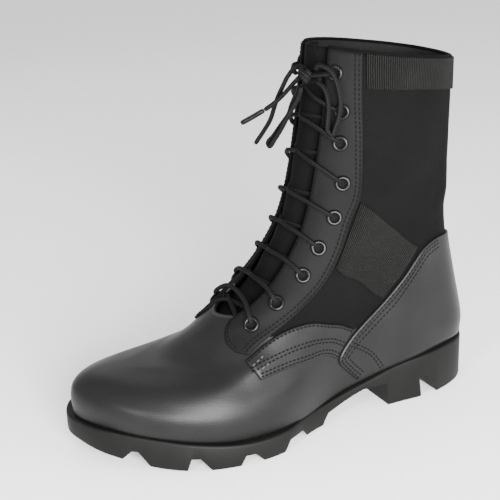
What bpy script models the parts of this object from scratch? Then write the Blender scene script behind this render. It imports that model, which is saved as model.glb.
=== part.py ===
"""Jungle boot for the left foot, standing empty on its sole.

+X points to the toe, +Y to the outer (lateral) side and +Z up. The origin lies on the flat tread
under the heel. Sizes are in metres. The upper is a ring of sections that climb from the sole's
edge to the collar: each section runs from a point on the back line to a point on the front line,
and its half widths are read from a table for either side.
"""
import math

import bmesh
import bpy
from mathutils import Vector

# Driving sizes
SOLE_LENGTH = 0.308
COLLAR_HEIGHT = 0.243
BALL_WIDTH = 0.112
HEEL_WIDTH = 0.075
HEEL_HEIGHT = 0.034
TOE_SPRING = 0.014
WALL = 0.0022
GAP = 0.0003
SEAT_GAP = 0.0005
HEEL_REST = 0.022

# Trim
TRIM_LIFT = 0.0006
TRIM_THICK = 0.0013
BAND_THICK = 0.0010
INSOLE_THICK = 0.0030
INSOLE_CLEARANCE = 0.0012
TONGUE_THICK = 0.0025
TONGUE_SINK = 0.0010

# Sole, a row from heel back to toe tip. Places are shares of SOLE_LENGTH. Half widths are shares
# of half the heel width up to the arch and of half the ball width beyond it.
SOLE_OUTLINE = (
    # along, lateral, medial
    (0.000, 0.00, 0.00),
    (0.035, 0.60, 0.60),
    (0.129, 0.99, 0.99),
    (0.273, 1.01, 0.91),
    (0.397, 1.03, 0.71),
    (0.513, 0.84, 0.60),
    (0.591, 1.03, 0.78),
    (0.695, 1.05, 0.95),
    (0.795, 0.89, 0.96),
    (0.874, 0.63, 0.93),
    (0.930, 0.38, 0.88),
    (0.964, 0.18, 0.79),
    (0.990, -0.12, 0.59),
    (1.000, -0.34, 0.34),
)
HEEL_ROWS = 5

# Rim is the height of the sole's upper edge as a share of HEEL_HEIGHT, and tread the height of
# the surface that meets the floor as a share of TOE_SPRING.
SOLE_PROFILE = (
    # along, rim, tread
    (0.000, 0.97, 0.00),
    (0.129, 1.01, 0.00),
    (0.268, 0.87, 0.00),
    (0.338, 0.71, 0.00),
    (0.447, 0.53, 0.00),
    (0.527, 0.48, 0.00),
    (0.695, 0.47, 0.00),
    (0.785, 0.57, 0.00),
    (0.864, 0.69, 0.18),
    (0.944, 0.79, 0.62),
    (1.000, 0.82, 1.00),
)

# Notches between the lugs, from the side: where each starts and ends at the tread and at its
# top, as shares of SOLE_LENGTH, and how deep it is as a share of HEEL_HEIGHT.
NOTCHES = (
    # rear foot, front foot, rear top, front top, depth
    (0.520, 0.591, 0.536, 0.574, 0.23),
    (0.646, 0.704, 0.669, 0.691, 0.21),
    (0.760, 0.815, 0.786, 0.805, 0.28),
    (0.873, 0.932, 0.899, 0.912, 0.27),
)
HEEL_NOTCH = (0.136, 0.186, 0.166, 0.192, 0.47)
ARCH = (
    # along, height as a share of HEEL_HEIGHT
    (0.275, -0.10),
    (0.282, 0.53),
    (0.348, 0.55),
    (0.451, 0.30),
    (0.467, 0.08),
    (0.520, 0.06),
    (0.556, -0.10),
)
NOTCH_SLANT = -0.22
NOTCH_REACH = 0.0065

# Sections of the upper, from the sole's edge to the collar: places along are shares of
# SOLE_LENGTH, heights of COLLAR_HEIGHT and the toe's swing of half the ball width. Settle says
# how far a section follows the dip of the sole's upper edge.
SECTION_LINES = (
    # back along, back height, front along, front swing, front height, settle
    (0.011, 0.140, 0.988, -0.300, 0.117, 1.00),
    (0.008, 0.198, 0.990, -0.300, 0.173, 0.95),
    (0.016, 0.255, 0.978, -0.300, 0.208, 0.90),
    (0.027, 0.317, 0.940, -0.250, 0.238, 0.85),
    (0.038, 0.379, 0.876, -0.180, 0.262, 0.80),
    (0.050, 0.440, 0.799, -0.120, 0.280, 0.65),
    (0.061, 0.514, 0.724, -0.071, 0.325, 0.50),
    (0.064, 0.584, 0.659, -0.054, 0.370, 0.35),
    (0.061, 0.658, 0.574, -0.036, 0.444, 0.20),
    (0.064, 0.733, 0.507, -0.036, 0.543, 0.10),
    (0.066, 0.804, 0.468, -0.036, 0.658, 0.00),
    (0.069, 0.902, 0.437, -0.036, 0.848, 0.00),
    (0.068, 1.010, 0.414, -0.036, 1.080, 0.00),
)
# Half widths of the same sections, at six stations from heel to toe. The first three are shares
# of half the heel width, the others of half the ball width.
STATIONS = (0.05, 0.15, 0.40, 0.60, 0.77, 0.93)
LATERAL_HALF = (
    # heel back, heel, waist, joint, ball, toe
    (0.68, 0.95, 0.95, 0.96, 0.89, 0.38),
    (0.69, 0.95, 0.96, 0.99, 0.93, 0.42),
    (0.67, 0.92, 0.97, 0.96, 0.89, 0.36),
    (0.64, 0.89, 0.97, 0.86, 0.83, 0.32),
    (0.61, 0.85, 0.94, 0.78, 0.77, 0.20),
    (0.60, 0.83, 0.93, 0.71, 0.70, 0.31),
    (0.59, 0.83, 0.92, 0.64, 0.62, 0.33),
    (0.56, 0.79, 0.92, 0.63, 0.59, 0.38),
    (0.55, 0.75, 0.91, 0.63, 0.57, 0.36),
    (0.55, 0.75, 0.93, 0.65, 0.56, 0.34),
    (0.56, 0.77, 0.99, 0.68, 0.57, 0.33),
    (0.59, 0.81, 1.03, 0.70, 0.59, 0.33),
    (0.57, 0.82, 1.05, 0.71, 0.59, 0.33),
)
MEDIAL_HALF = (
    # heel back, heel, waist, joint, ball, toe
    (0.68, 0.95, 0.66, 0.71, 0.89, 0.81),
    (0.68, 0.95, 0.70, 0.74, 0.92, 0.83),
    (0.66, 0.92, 0.75, 0.74, 0.89, 0.77),
    (0.63, 0.89, 0.80, 0.69, 0.85, 0.62),
    (0.61, 0.85, 0.83, 0.64, 0.76, 0.45),
    (0.60, 0.83, 0.85, 0.62, 0.68, 0.44),
    (0.59, 0.83, 0.88, 0.61, 0.60, 0.39),
    (0.56, 0.79, 0.89, 0.61, 0.57, 0.38),
    (0.55, 0.75, 0.89, 0.62, 0.55, 0.36),
    (0.55, 0.75, 0.92, 0.63, 0.55, 0.34),
    (0.56, 0.77, 0.97, 0.67, 0.56, 0.33),
    (0.59, 0.81, 1.01, 0.69, 0.58, 0.33),
    (0.57, 0.82, 1.04, 0.70, 0.58, 0.33),
)
# Where the stations lie on the way round from the back line (0) to the front line (1)
AROUND = (0.0, 0.106, 0.196, 0.408, 0.580, 0.722, 0.878, 1.0)
THROAT_EDGE = 0.898
THROAT_SECTION = 7.0
TOP_SECTION = len(SECTION_LINES) - 1
UPPER_ROWS = 17
UPPER_COLUMNS = (0.0, 0.035, 0.07, 0.106, 0.15, 0.20, 0.235, 0.27, 0.31, 0.35, 0.39, 0.43, 0.48,
                 0.53, 0.58, 0.63, 0.68, 0.722, 0.77, 0.82, 0.86, 0.898, 0.945, 1.0)


def curve_at(knots, places, place):
    """Cubic through knots (tuples) at rising places, with slopes from the neighbours."""
    last = len(places) - 1
    i = 0
    while i < last - 1 and place > places[i + 1]:
        i += 1
    span = places[i + 1] - places[i]
    t = (place - places[i]) / span

    def slope(k):
        if k == 0:
            return [(b - a) / (places[1] - places[0]) for a, b in zip(knots[0], knots[1])]
        if k == last:
            return [(b - a) / (places[last] - places[last - 1])
                    for a, b in zip(knots[last - 1], knots[last])]
        before = places[k] - places[k - 1]
        after = places[k + 1] - places[k]
        return [((c - b) / after * before + (b - a) / before * after) / (before + after)
                for a, b, c in zip(knots[k - 1], knots[k], knots[k + 1])]

    start = slope(i)
    end = slope(i + 1)
    h00 = 2 * t ** 3 - 3 * t ** 2 + 1
    h10 = t ** 3 - 2 * t ** 2 + t
    h01 = -2 * t ** 3 + 3 * t ** 2
    h11 = t ** 3 - t ** 2
    return [h00 * a + h10 * span * m + h01 * b + h11 * span * n
            for a, b, m, n in zip(knots[i], knots[i + 1], start, end)]


def profile(x):
    """Heights of the sole's rim and of its tread at x."""
    rows = SOLE_PROFILE
    along = min(max(x / SOLE_LENGTH, 0.0), 1.0)
    rim, tread = curve_at([row[1:] for row in rows], [row[0] for row in rows], along)
    return rim * HEEL_HEIGHT, max(tread, 0.0) * TOE_SPRING


def sole_outline(steps):
    """Closed outline of the sole: steps points to the toe on the lateral side, steps back."""
    half = []
    for i, (along, lateral, medial) in enumerate(SOLE_OUTLINE):
        width = (HEEL_WIDTH if i < HEEL_ROWS else BALL_WIDTH) / 2
        half.append((along * SOLE_LENGTH, lateral * width, -medial * width))
    knots = [(x, y) for x, y, _ in half] + [(x, y) for x, _, y in half[-2:0:-1]]
    ring = knots[-2:] + knots + knots[:3]
    places = [0.0]
    for a, b in zip(ring, ring[1:]):
        places.append(places[-1] + math.dist(a, b))
    start = places[2]
    middle = places[2 + len(half) - 1]
    end = places[2 + len(knots)]
    points = []
    for i in range(steps):
        points.append(curve_at(ring, places, start + (middle - start) * i / steps))
    for i in range(steps):
        points.append(curve_at(ring, places, middle + (end - middle) * i / steps))
    return points


def inset(outline, amount):
    """Move each point of a closed outline inwards; amount may be a function of x."""
    moved = []
    for i, point in enumerate(outline):
        before = outline[i - 1]
        after = outline[(i + 1) % len(outline)]
        run = Vector((after[0] - before[0], after[1] - before[1])).normalized()
        step = amount(point[0]) if callable(amount) else amount
        moved.append((point[0] + run.y * step, point[1] - run.x * step))
    return moved


def section(level):
    """Closed ring of knots of the upper at a level from 0 (sole) to TOP_SECTION (collar)."""
    levels = list(range(len(SECTION_LINES)))
    back, back_z, front, swing, front_z, settle = curve_at(SECTION_LINES, levels, level)
    lateral = curve_at(LATERAL_HALF, levels, level)
    medial = curve_at(MEDIAL_HALF, levels, level)
    back *= SOLE_LENGTH
    front *= SOLE_LENGTH
    back_z *= COLLAR_HEIGHT
    front_z *= COLLAR_HEIGHT
    sides = []
    for share, outer, inner, i in zip(STATIONS, lateral, medial, range(6)):
        width = (HEEL_WIDTH if i < 3 else BALL_WIDTH) / 2
        x = back + (front - back) * share
        z = back_z + (front_z - back_z) * share
        sides.append(((x, outer * width, z), (x, -inner * width, z)))
    tail = (back, 0.0, back_z)
    tip = (front, swing * BALL_WIDTH / 2, front_z)
    ring = [tail] + [side[0] for side in sides] + [tip] + [side[1] for side in sides[::-1]]
    return ring, settle


RING_PLACES = list(AROUND) + [2.0 - place for place in AROUND[-2:0:-1]]
SECTIONS = {}


def base_line(x):
    """Height at x of the straight line between the ends of the lowest section."""
    back, back_z, front, _, front_z, _ = SECTION_LINES[0]
    share = (x / SOLE_LENGTH - back) / (front - back)
    return (back_z + (front_z - back_z) * share) * COLLAR_HEIGHT


def surface(around, level):
    """Point of the upper's outer face; around is 0 at the back, 1 or -1 at the front."""
    level = min(max(level, 0.0), TOP_SECTION)
    key = round(level, 5)
    if key not in SECTIONS:
        ring, settle = section(level)
        knots = ring[-2:] + ring + ring[:3]
        places = [place - 2.0 for place in RING_PLACES[-2:]] + RING_PLACES
        places += [place + 2.0 for place in RING_PLACES[:3]]
        SECTIONS[key] = (knots, places, settle)
    knots, places, settle = SECTIONS[key]
    x, y, z = curve_at(knots, places, around % 2.0)
    return Vector((x, y, z + settle * (profile(x)[0] + SEAT_GAP - base_line(x))))


def normal(around, level):
    """Outward direction of the upper's outer face."""
    step = 0.004
    low = max(level - 0.05, 0.0)
    high = min(level + 0.05, TOP_SECTION)
    run = surface(around + step, level) - surface(around - step, level)
    rise = surface(around, high) - surface(around, low)
    return rise.cross(run).normalized()


def skin(around, level, lift):
    """Point at a height over the upper's outer face."""
    return surface(around, level) + normal(around, level) * lift


def find(side, x, z):
    """Place on the upper, as (around, level), that is seen at x, z from its side (1 or -1)."""
    best = None
    for i in range(1, 40):
        for k in range(49):
            point = surface(side * i / 40, k * TOP_SECTION / 48)
            miss = math.hypot(point.x - x, point.z - z)
            if best is None or miss < best[0]:
                best = (miss, side * i / 40, k * TOP_SECTION / 48)
    _, around, level = best
    for _ in range(8):
        point = surface(around, level)
        across = (surface(around + 0.002, level) - point) / 0.002
        up = (surface(around, level + 0.01) - point) / 0.01
        if level > TOP_SECTION - 0.02:
            up = (point - surface(around, level - 0.01)) / 0.01
        scale = across.x * up.z - across.z * up.x
        if abs(scale) < 1e-9:
            break
        dx = x - point.x
        dz = z - point.z
        around += max(-0.03, min(0.03, (dx * up.z - dz * up.x) / scale))
        level += max(-0.3, min(0.3, (across.x * dz - across.z * dx) / scale))
        level = min(max(level, 0.0), TOP_SECTION)
    return around, level


# Trim outlines as seen from the side: places along are shares of SOLE_LENGTH, heights of
# COLLAR_HEIGHT.
EYELETS = (
    # along, height
    (0.615, 0.348),
    (0.556, 0.399),
    (0.490, 0.465),
    (0.448, 0.535),
    (0.409, 0.617),
    (0.388, 0.712),
    (0.388, 0.823),
    (0.382, 0.909),
    (0.388, 1.012),
)
EYESTAY = (
    # front around, front level, rear along, rear height
    (0.894, 12.00, 0.340, 1.080),
    (0.894, 11.00, 0.345, 0.938),
    (0.894, 10.20, 0.346, 0.811),
    (0.894, 9.60, 0.351, 0.679),
    (0.894, 9.10, 0.376, 0.600),
    (0.894, 8.50, 0.403, 0.518),
    (0.894, 7.90, 0.447, 0.438),
    (0.900, 7.40, 0.505, 0.378),
    (0.920, 6.95, 0.556, 0.340),
    (0.896, 6.40, 0.596, 0.314),
    (0.850, 5.85, 0.625, 0.294),
    (0.795, 5.38, 0.641, 0.280),
)
COUNTER = (
    # edge along, edge height, back height
    (0.362, 0.110, 0.143),
    (0.390, 0.147, 0.197),
    (0.415, 0.193, 0.255),
    (0.389, 0.242, 0.315),
    (0.348, 0.285, 0.360),
    (0.290, 0.338, 0.400),
    (0.234, 0.400, 0.430),
    (0.207, 0.437, 0.442),
    (0.181, 0.470, 0.452),
    (0.155, 0.484, 0.458),
    (0.129, 0.490, 0.462),
)
STRAP = (
    # front along, front height, rear along, rear height
    (0.353, 0.655, 0.195, 0.482),
    (0.364, 0.618, 0.215, 0.450),
    (0.381, 0.568, 0.238, 0.415),
    (0.399, 0.518, 0.264, 0.380),
    (0.417, 0.475, 0.292, 0.350),
)
SIDE_PANEL = (
    # top along, top height, bottom along, bottom height
    (0.652, 0.268, 0.634, 0.223),
    (0.612, 0.296, 0.592, 0.229),
    (0.568, 0.322, 0.548, 0.233),
    (0.522, 0.334, 0.507, 0.233),
    (0.472, 0.330, 0.472, 0.233),
    (0.417, 0.308, 0.445, 0.222),
    (0.376, 0.280, 0.425, 0.204),
)
COLLAR_BAND = (
    # edge along, edge height, back height
    (0.336, 0.967, 0.905),
    (0.336, 1.020, 0.957),
    (0.334, 1.075, 1.010),
)
BACK_EASE = 1.25
BAND_SWELL = 0.15
BACKSTAY_HALF = 0.026
BACKSTAY_FROM = 0.470
BACKSTAY_TO = 0.895

# Eyelets and laces
EYELET_RADIUS = 0.0045
EYELET_WIRE = 0.0010
EYELET_CLEARANCE = 0.0036
LACE_RADIUS = 0.0016
LACE_REST = 0.0007
LACE_STEPS = 7
BAR_STEPS = 8
LACE_TUCK = 0.018
LOWEST_CROSSING = (7.25, 7.38)
LACE_RISE = 0.006
BAR_RISE = 0.013
KNOT_RADIUS = 0.0034
AGLET_RADIUS = 0.0019

# Middle line of the knot, the loops and the ends of the bow, a point after the other. Each value
# is a share of COLLAR_HEIGHT, measured like the rest from the heel's back edge.
KNOT = (
    # along, across, height
    (0.5570, 0.0220, 0.9880),
    (0.5535, 0.0300, 1.0060),
    (0.5500, 0.0380, 1.0240),
)
LOOP_LONG = (
    # along, across, height
    (0.5395, 0.0620, 1.0230),
    (0.5365, 0.0760, 1.0350),
    (0.5300, 0.0900, 1.0330),
    (0.5180, 0.1060, 1.0220),
    (0.5110, 0.1180, 1.0010),
    (0.5055, 0.1260, 0.9700),
    (0.5035, 0.1310, 0.9400),
    (0.5075, 0.1300, 0.9050),
    (0.5140, 0.1230, 0.8740),
    (0.5215, 0.1140, 0.8510),
    (0.5275, 0.1060, 0.8600),
    (0.5275, 0.1040, 0.8850),
    (0.5240, 0.1030, 0.9150),
    (0.5230, 0.0980, 0.9450),
    (0.5270, 0.0860, 0.9740),
    (0.5370, 0.0650, 0.9900),
)
LOOP_SHORT = (
    # along, across, height
    (0.5640, 0.0160, 0.9760),
    (0.5700, 0.0030, 0.9420),
    (0.5720, -0.0120, 0.9180),
    (0.5720, -0.0320, 0.8860),
    (0.5850, -0.0520, 0.8540),
    (0.6010, -0.0700, 0.8200),
    (0.6150, -0.0780, 0.8000),
    (0.6170, -0.0650, 0.7930),
    (0.6060, -0.0490, 0.8180),
    (0.5950, -0.0290, 0.8520),
    (0.5860, -0.0110, 0.8860),
    (0.5780, 0.0060, 0.9140),
    (0.5700, 0.0180, 0.9380),
    (0.5660, 0.0320, 0.9720),
)
END_LEFT = (
    # along, across, height
    (0.5455, 0.0195, 1.0175),
    (0.5480, -0.0060, 1.0220),
    (0.5560, -0.0240, 1.0130),
    (0.5660, -0.0420, 0.9900),
    (0.5750, -0.0600, 0.9560),
    (0.5820, -0.0780, 0.9220),
    (0.5860, -0.0920, 0.8900),
    (0.5890, -0.1060, 0.8600),
    (0.6020, -0.1240, 0.8240),
    (0.6230, -0.1400, 0.7850),
)
END_RIGHT = (
    # along, across, height
    (0.5515, -0.0020, 0.9930),
    (0.5600, -0.0160, 0.9770),
    (0.5715, -0.0300, 0.9570),
    (0.5860, -0.0480, 0.9330),
    (0.6040, -0.0640, 0.9120),
    (0.6220, -0.0780, 0.8960),
)
AGLET = (
    # along, across, height
    (0.6240, -0.0800, 0.8945),
    (0.6500, -0.1000, 0.8750),
    (0.6760, -0.1190, 0.8570),
)


def material(name, colour, roughness, metallic=0.0):
    made = bpy.data.materials.new(name)
    made.use_nodes = True
    shader = made.node_tree.nodes["Principled BSDF"]
    shader.inputs["Base Color"].default_value = (*colour, 1.0)
    shader.inputs["Roughness"].default_value = roughness
    shader.inputs["Metallic"].default_value = metallic
    return made


def clear_scene():
    for item in list(bpy.context.scene.objects):
        bpy.data.objects.remove(item, do_unlink=True)


def add_object(name, mesh, look, collection, root):
    """Object in its collection, carried by the root empty."""
    made = bpy.data.objects.new(name, mesh)
    collection.objects.link(made)
    made.parent = root
    mesh.materials.clear()
    mesh.materials.append(look)
    mesh.shade_smooth()
    mesh.set_sharp_from_angle(angle=math.radians(40))
    return made


def mesh_from(name, points, faces):
    """Closed mesh from points and faces, with its faces turned outwards."""
    built = bmesh.new()
    corners = [built.verts.new(point) for point in points]
    for face in faces:
        built.faces.new([corners[i] for i in face])
    bmesh.ops.recalc_face_normals(built, faces=built.faces)
    mesh = bpy.data.meshes.new(name)
    built.to_mesh(mesh)
    built.free()
    return mesh


def shell_mesh(name, inner, outer, cells):
    """Solid between two layers of points that share their cells; open edges are closed."""
    count = len(outer)
    faces = [tuple(i + count for i in cell) for cell in cells]
    faces += [tuple(reversed(cell)) for cell in cells]
    edges = {}
    for cell in cells:
        for a, b in zip(cell, cell[1:] + cell[:1]):
            edges.setdefault(frozenset((a, b)), []).append((a, b))
    for uses in edges.values():
        if len(uses) == 1:
            a, b = uses[0]
            faces.append((a, b, b + count, a + count))
    used = sorted({i for face in faces for i in face})
    order = {old: new for new, old in enumerate(used)}
    points = list(inner) + list(outer)
    return mesh_from(name, [points[i] for i in used], [[order[i] for i in f] for f in faces])


def grid_cells(rows, columns, wrap=False):
    """Quads of a grid of points counted row by row."""
    cells = []
    for r in range(rows - 1):
        for c in range(columns if wrap else columns - 1):
            d = (c + 1) % columns
            cells.append((r * columns + c, r * columns + d, (r + 1) * columns + d,
                          (r + 1) * columns + c))
    return cells


def trim_mesh(name, rows, thickness, lift=TRIM_LIFT):
    """Piece that lies on the upper: rows of (around, level) places of equal length."""
    inner = [skin(a, level, lift) for row in rows for a, level in row]
    outer = [skin(a, level, lift + thickness) for row in rows for a, level in row]
    return shell_mesh(name, inner, outer, grid_cells(len(rows), len(rows[0])))


def between(start, end, steps, ease=1.0):
    """Places from start to end, both included; an ease over 1 sets them closer at the end."""
    shares = [1.0 - (1.0 - i / steps) ** ease for i in range(steps + 1)]
    return [tuple(a + (b - a) * share for a, b in zip(start, end)) for share in shares]


def spot(side, along, height):
    return find(side, along * SOLE_LENGTH, height * COLLAR_HEIGHT)


def straight(side, start, end, steps):
    """Places on the upper along the line that is straight as seen from the side."""
    thirds = []
    for i in range(4):
        point = [a + (b - a) * i / 3 for a, b in zip(start, end)]
        thirds.append(spot(side, *point))
    return [tuple(curve_at(thirds, (0, 1, 2, 3), 3 * i / steps)) for i in range(steps + 1)]


def level_at(around, height):
    """Level at which the upper's outer face reaches a height in metres."""
    low = 0.0
    high = float(TOP_SECTION)
    for _ in range(30):
        middle = (low + high) / 2
        if surface(around, middle).z < height:
            low = middle
        else:
            high = middle
    return (low + high) / 2


def back_level(height):
    """Level of the back line at a height given as a share of COLLAR_HEIGHT."""
    return level_at(0.0, height * COLLAR_HEIGHT)


def round_back(rows, steps, swell=0.0):
    """Rows that run from the lateral edge round the back to the medial edge.

    Swell is the number of levels by which the first row rises midway between edge and back.
    """
    places = []
    for number, (along, height, back_height) in enumerate(rows):
        rise = swell * (1 - number / (len(rows) - 1))
        back = (0.0, back_level(back_height))
        lateral = spot(1, along, height)
        medial = spot(-1, along, height)
        row = between(lateral, back, steps, BACK_EASE)
        row += between(medial, back, steps, BACK_EASE)[-2::-1]
        places.append([(around, level + rise * abs(math.sin(math.pi * i / steps)))
                       for i, (around, level) in enumerate(row)])
    return places


def upper_mesh():
    columns = list(UPPER_COLUMNS) + [2.0 - place for place in UPPER_COLUMNS[-2:0:-1]]
    levels = [TOP_SECTION * i / UPPER_ROWS for i in range(UPPER_ROWS + 1)]
    levels[-1] = float(TOP_SECTION)
    throat_row = min(range(len(levels)), key=lambda i: abs(levels[i] - THROAT_SECTION))
    inner = []
    outer = []
    for level in levels:
        for place in columns:
            outer.append(skin(place, level, 0.0))
            point = skin(place, level, -WALL)
            if level == 0.0:
                point.z = profile(point.x)[0] + SEAT_GAP
            inner.append(point)
    cells = []
    first = UPPER_COLUMNS.index(THROAT_EDGE)
    last = columns.index(2.0 - THROAT_EDGE)
    for number, cell in enumerate(grid_cells(len(levels), len(columns), wrap=True)):
        row, column = divmod(number, len(columns))
        if row >= throat_row and first <= column < last:
            continue
        cells.append(cell)
    return shell_mesh("upper", inner, outer, cells)


def plate_mesh(name, loops):
    """Solid between closed loops that share their count; the first and last are bridged."""
    count = len(loops[0])
    half = count // 2
    points = [point for loop in loops for point in loop]
    faces = []
    for k in range(len(loops) - 1):
        for i in range(count):
            j = (i + 1) % count
            faces.append((k * count + i, k * count + j, (k + 1) * count + j,
                          (k + 1) * count + i))
    for start in (0, (len(loops) - 1) * count):
        faces.append((start, start + 1, start + count - 1))
        for i in range(1, half - 1):
            faces.append((start + i, start + i + 1, start + count - i - 1, start + count - i))
        faces.append((start + half - 1, start + half, start + half + 1))
    return mesh_from(name, points, faces)


SOLE_STEPS = 34
LIP = 0.0015


def sole_mesh():
    outline = sole_outline(SOLE_STEPS)
    lip = inset(outline, LIP)
    top = [(x, y, profile(x)[0]) for x, y in lip]
    edge = [(x, y, profile(x)[0] - LIP) for x, y in outline]
    foot = [(x, y, profile(x)[1]) for x, y in outline]
    return plate_mesh("outsole", [top, edge, foot])


def insole_mesh():
    columns = [i / 20 for i in range(40)]
    ring = [skin(place, 0.0, -WALL - INSOLE_CLEARANCE) for place in columns]
    low = [(p.x, p.y, profile(p.x)[0] + GAP) for p in ring]
    high = [(p.x, p.y, profile(p.x)[0] + GAP + INSOLE_THICK) for p in ring]
    return plate_mesh("insole", [high, low])


def sole_edge(x, side):
    """Distance of the sole's edge from the long axis at x, on one side."""
    outline = [point for point in sole_outline(SOLE_STEPS) if point[1] * side > 0.0]
    return abs(min(outline, key=lambda point: abs(point[0] - x))[1])


def prism(name, outline, start, end, slant, edge, cutters, root):
    """Cutter with an outline in the XZ plane, from y start to y end.

    Its x moves by slant for each unit that the cutter runs in from the edge.
    """
    points = [(x + slant * (edge - abs(start)), start, z) for x, z in outline]
    points += [(x + slant * (edge - abs(end)), end, z) for x, z in outline]
    count = len(outline)
    faces = [tuple(range(count)), tuple(range(2 * count - 1, count - 1, -1))]
    for i in range(count):
        j = (i + 1) % count
        faces.append((i, j, j + count, i + count))
    made = bpy.data.objects.new(name, mesh_from(name, points, faces))
    cutters.objects.link(made)
    made.parent = root
    made.hide_render = True
    made.display_type = "WIRE"
    return made


def cut(target, cutter):
    step = target.modifiers.new("cut_" + cutter.name, "BOOLEAN")
    step.operation = "DIFFERENCE"
    step.object = cutter


def notch_outline(row):
    """Side view of a notch, open below the tread."""
    rear, front, rear_top, front_top = [share * SOLE_LENGTH for share in row[:4]]
    top = profile((rear + front) / 2)[1] + row[4] * HEEL_HEIGHT
    below = -HEEL_HEIGHT
    return [(rear, below), (rear, profile(rear)[1]), (rear_top, top), (front_top, top),
            (front, profile(front)[1]), (front, below)]


def cut_tread(sole, cutters, root):
    """Arch, notches on either side of the middle and the heel's notch."""
    wide = BALL_WIDTH
    arch = [(along * SOLE_LENGTH, height * HEEL_HEIGHT) for along, height in ARCH]
    arch += [(arch[-1][0], -HEEL_HEIGHT), (arch[0][0], -HEEL_HEIGHT)]
    cut(sole, prism("arch_cut", arch, -wide, wide, 0.0, 0.0, cutters, root))
    for side, label in ((1, "lateral"), (-1, "medial")):
        for number, row in enumerate(NOTCHES, 1):
            name = "notch_%s_%d" % (label, number)
            shape = notch_outline(row)
            edge = sole_edge((row[0] + row[1]) / 2 * SOLE_LENGTH, side)
            cut(sole, prism(name, shape, side * wide, side * NOTCH_REACH, NOTCH_SLANT, edge,
                            cutters, root))
    heel = notch_outline(HEEL_NOTCH)
    cut(sole, prism("heel_notch", heel, -wide, wide, 0.0, 0.0, cutters, root))


def tongue_mesh():
    """Strip behind the throat: sunk under the facings, fuller between them."""
    rows = []
    steps = 14
    for i in range(steps + 1):
        level = 6.1 + (TOP_SECTION - 6.1) * i / steps
        rows.append([(0.80 + 0.40 * k / 10, level) for k in range(11)])
    inner = []
    outer = []
    for row in rows:
        for place, level in row:
            open_level = min(max((level - THROAT_SECTION - 0.4) / 1.2, 0.0), 1.0)
            middle = min(max((1.0 - abs(place - 1.0) / (1.0 - THROAT_EDGE)) / 0.8, 0.0), 1.0)
            rise = math.sin(middle * math.pi / 2) * open_level
            sunk = WALL + 2 * GAP
            lift = -sunk + (sunk - TONGUE_SINK) * rise
            outer.append(skin(place, level, lift))
            inner.append(skin(place, level, lift - TONGUE_THICK))
    return shell_mesh("tongue", inner, outer, grid_cells(len(rows), 11))


def facing_frame(side, number):
    """Place of an eyelet on the upper, and the height of the facing's outer face over it."""
    along, height = EYELETS[number]
    around, level = spot(side, along, height)
    return around, level, TRIM_LIFT + TRIM_THICK


def add_eyelets(look, collection, root):
    """Rings that lie on the facings, numbered from the toe up."""
    bpy.ops.mesh.primitive_torus_add(major_segments=12, minor_segments=4,
                                     major_radius=EYELET_RADIUS, minor_radius=EYELET_WIRE)
    shape = bpy.context.object
    mesh = shape.data
    bpy.data.objects.remove(shape, do_unlink=True)
    for side, label in ((1, "lateral"), (-1, "medial")):
        for number in range(len(EYELETS)):
            around, level, face = facing_frame(side, number)
            name = "eyelet_%s_%d" % (label, number + 1)
            ring = add_object(name, mesh, look, collection, root)
            ring.location = skin(around, level, face + EYELET_WIRE + 2 * GAP)
            turn = Vector((0.0, 0.0, 1.0)).rotation_difference(normal(around, level))
            ring.rotation_euler = turn.to_euler()


def cord_curve(name, points, radius):
    """Curve of round section with closed ends through points."""
    curve = bpy.data.curves.new(name, "CURVE")
    curve.dimensions = "3D"
    curve.bevel_depth = radius
    curve.bevel_resolution = 2
    curve.use_fill_caps = True
    spline = curve.splines.new("POLY")
    spline.points.add(len(points) - 1)
    for corner, point in zip(spline.points, points):
        corner.co = (*point, 1.0)
    return curve


def tube_mesh(name, points, radius):
    """Closed mesh tube of round section through points."""
    curve = cord_curve(name, points, radius)
    curve.bevel_resolution = 1
    holder = bpy.data.objects.new(name, curve)
    bpy.context.scene.collection.objects.link(holder)
    bpy.context.view_layer.update()
    evaluated = holder.evaluated_get(bpy.context.evaluated_depsgraph_get())
    mesh = bpy.data.meshes.new_from_object(evaluated)
    bpy.data.objects.remove(holder, do_unlink=True)
    built = bmesh.new()
    built.from_mesh(mesh)
    bmesh.ops.remove_doubles(built, verts=built.verts, dist=0.00005)
    bmesh.ops.recalc_face_normals(built, faces=built.faces)
    built.to_mesh(mesh)
    built.free()
    return mesh


def beside_eyelet(around):
    """Place between an eyelet's ring and the throat, on the ring's level."""
    return abs(around) + EYELET_CLEARANCE / (BALL_WIDTH / 2)


def tucked_run(side):
    """Lace between the two lowest rows of eyelets, which passes under both facings."""
    begin = side * (THROAT_EDGE + LACE_TUCK)
    reach = side * (2.0 - THROAT_EDGE - LACE_TUCK)
    low, high = LOWEST_CROSSING
    lift = LACE_RADIUS - WALL - GAP
    return [skin(begin + (reach - begin) * i / LACE_STEPS, low + (high - low) * i / LACE_STEPS,
                 lift) for i in range(LACE_STEPS + 1)]


def lace_run(side, low, high):
    """Lace from beside an eyelet, over its facing and the tongue, to the opposite facing."""
    if low == 0:
        return tucked_run(side)
    start = facing_frame(side, low)
    end = facing_frame(-side, high)
    begin = side * beside_eyelet(start[0])
    reach = side * (2.0 - THROAT_EDGE - LACE_TUCK)
    over = start[2] + LACE_REST + LACE_RADIUS
    under = LACE_RADIUS - TONGUE_SINK
    points = []
    low_z = surface(*start[:2]).z
    high_z = surface(*end[:2]).z
    # The highest crossing runs straight, so that it stays clear of the bow
    rise = LACE_RISE if high < len(EYELETS) - 1 else 0.0
    for i in range(LACE_STEPS + 1):
        share = i / LACE_STEPS
        around = begin + (reach - begin) * share
        height = low_z + (high_z - low_z) * share + rise * math.sin(math.pi * share)
        level = level_at(around, height)
        fall = max(0.0, share - 0.25) / 0.75
        points.append(skin(around, level, over + (under - over) * math.sin(fall * math.pi / 2)))
    return points


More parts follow.
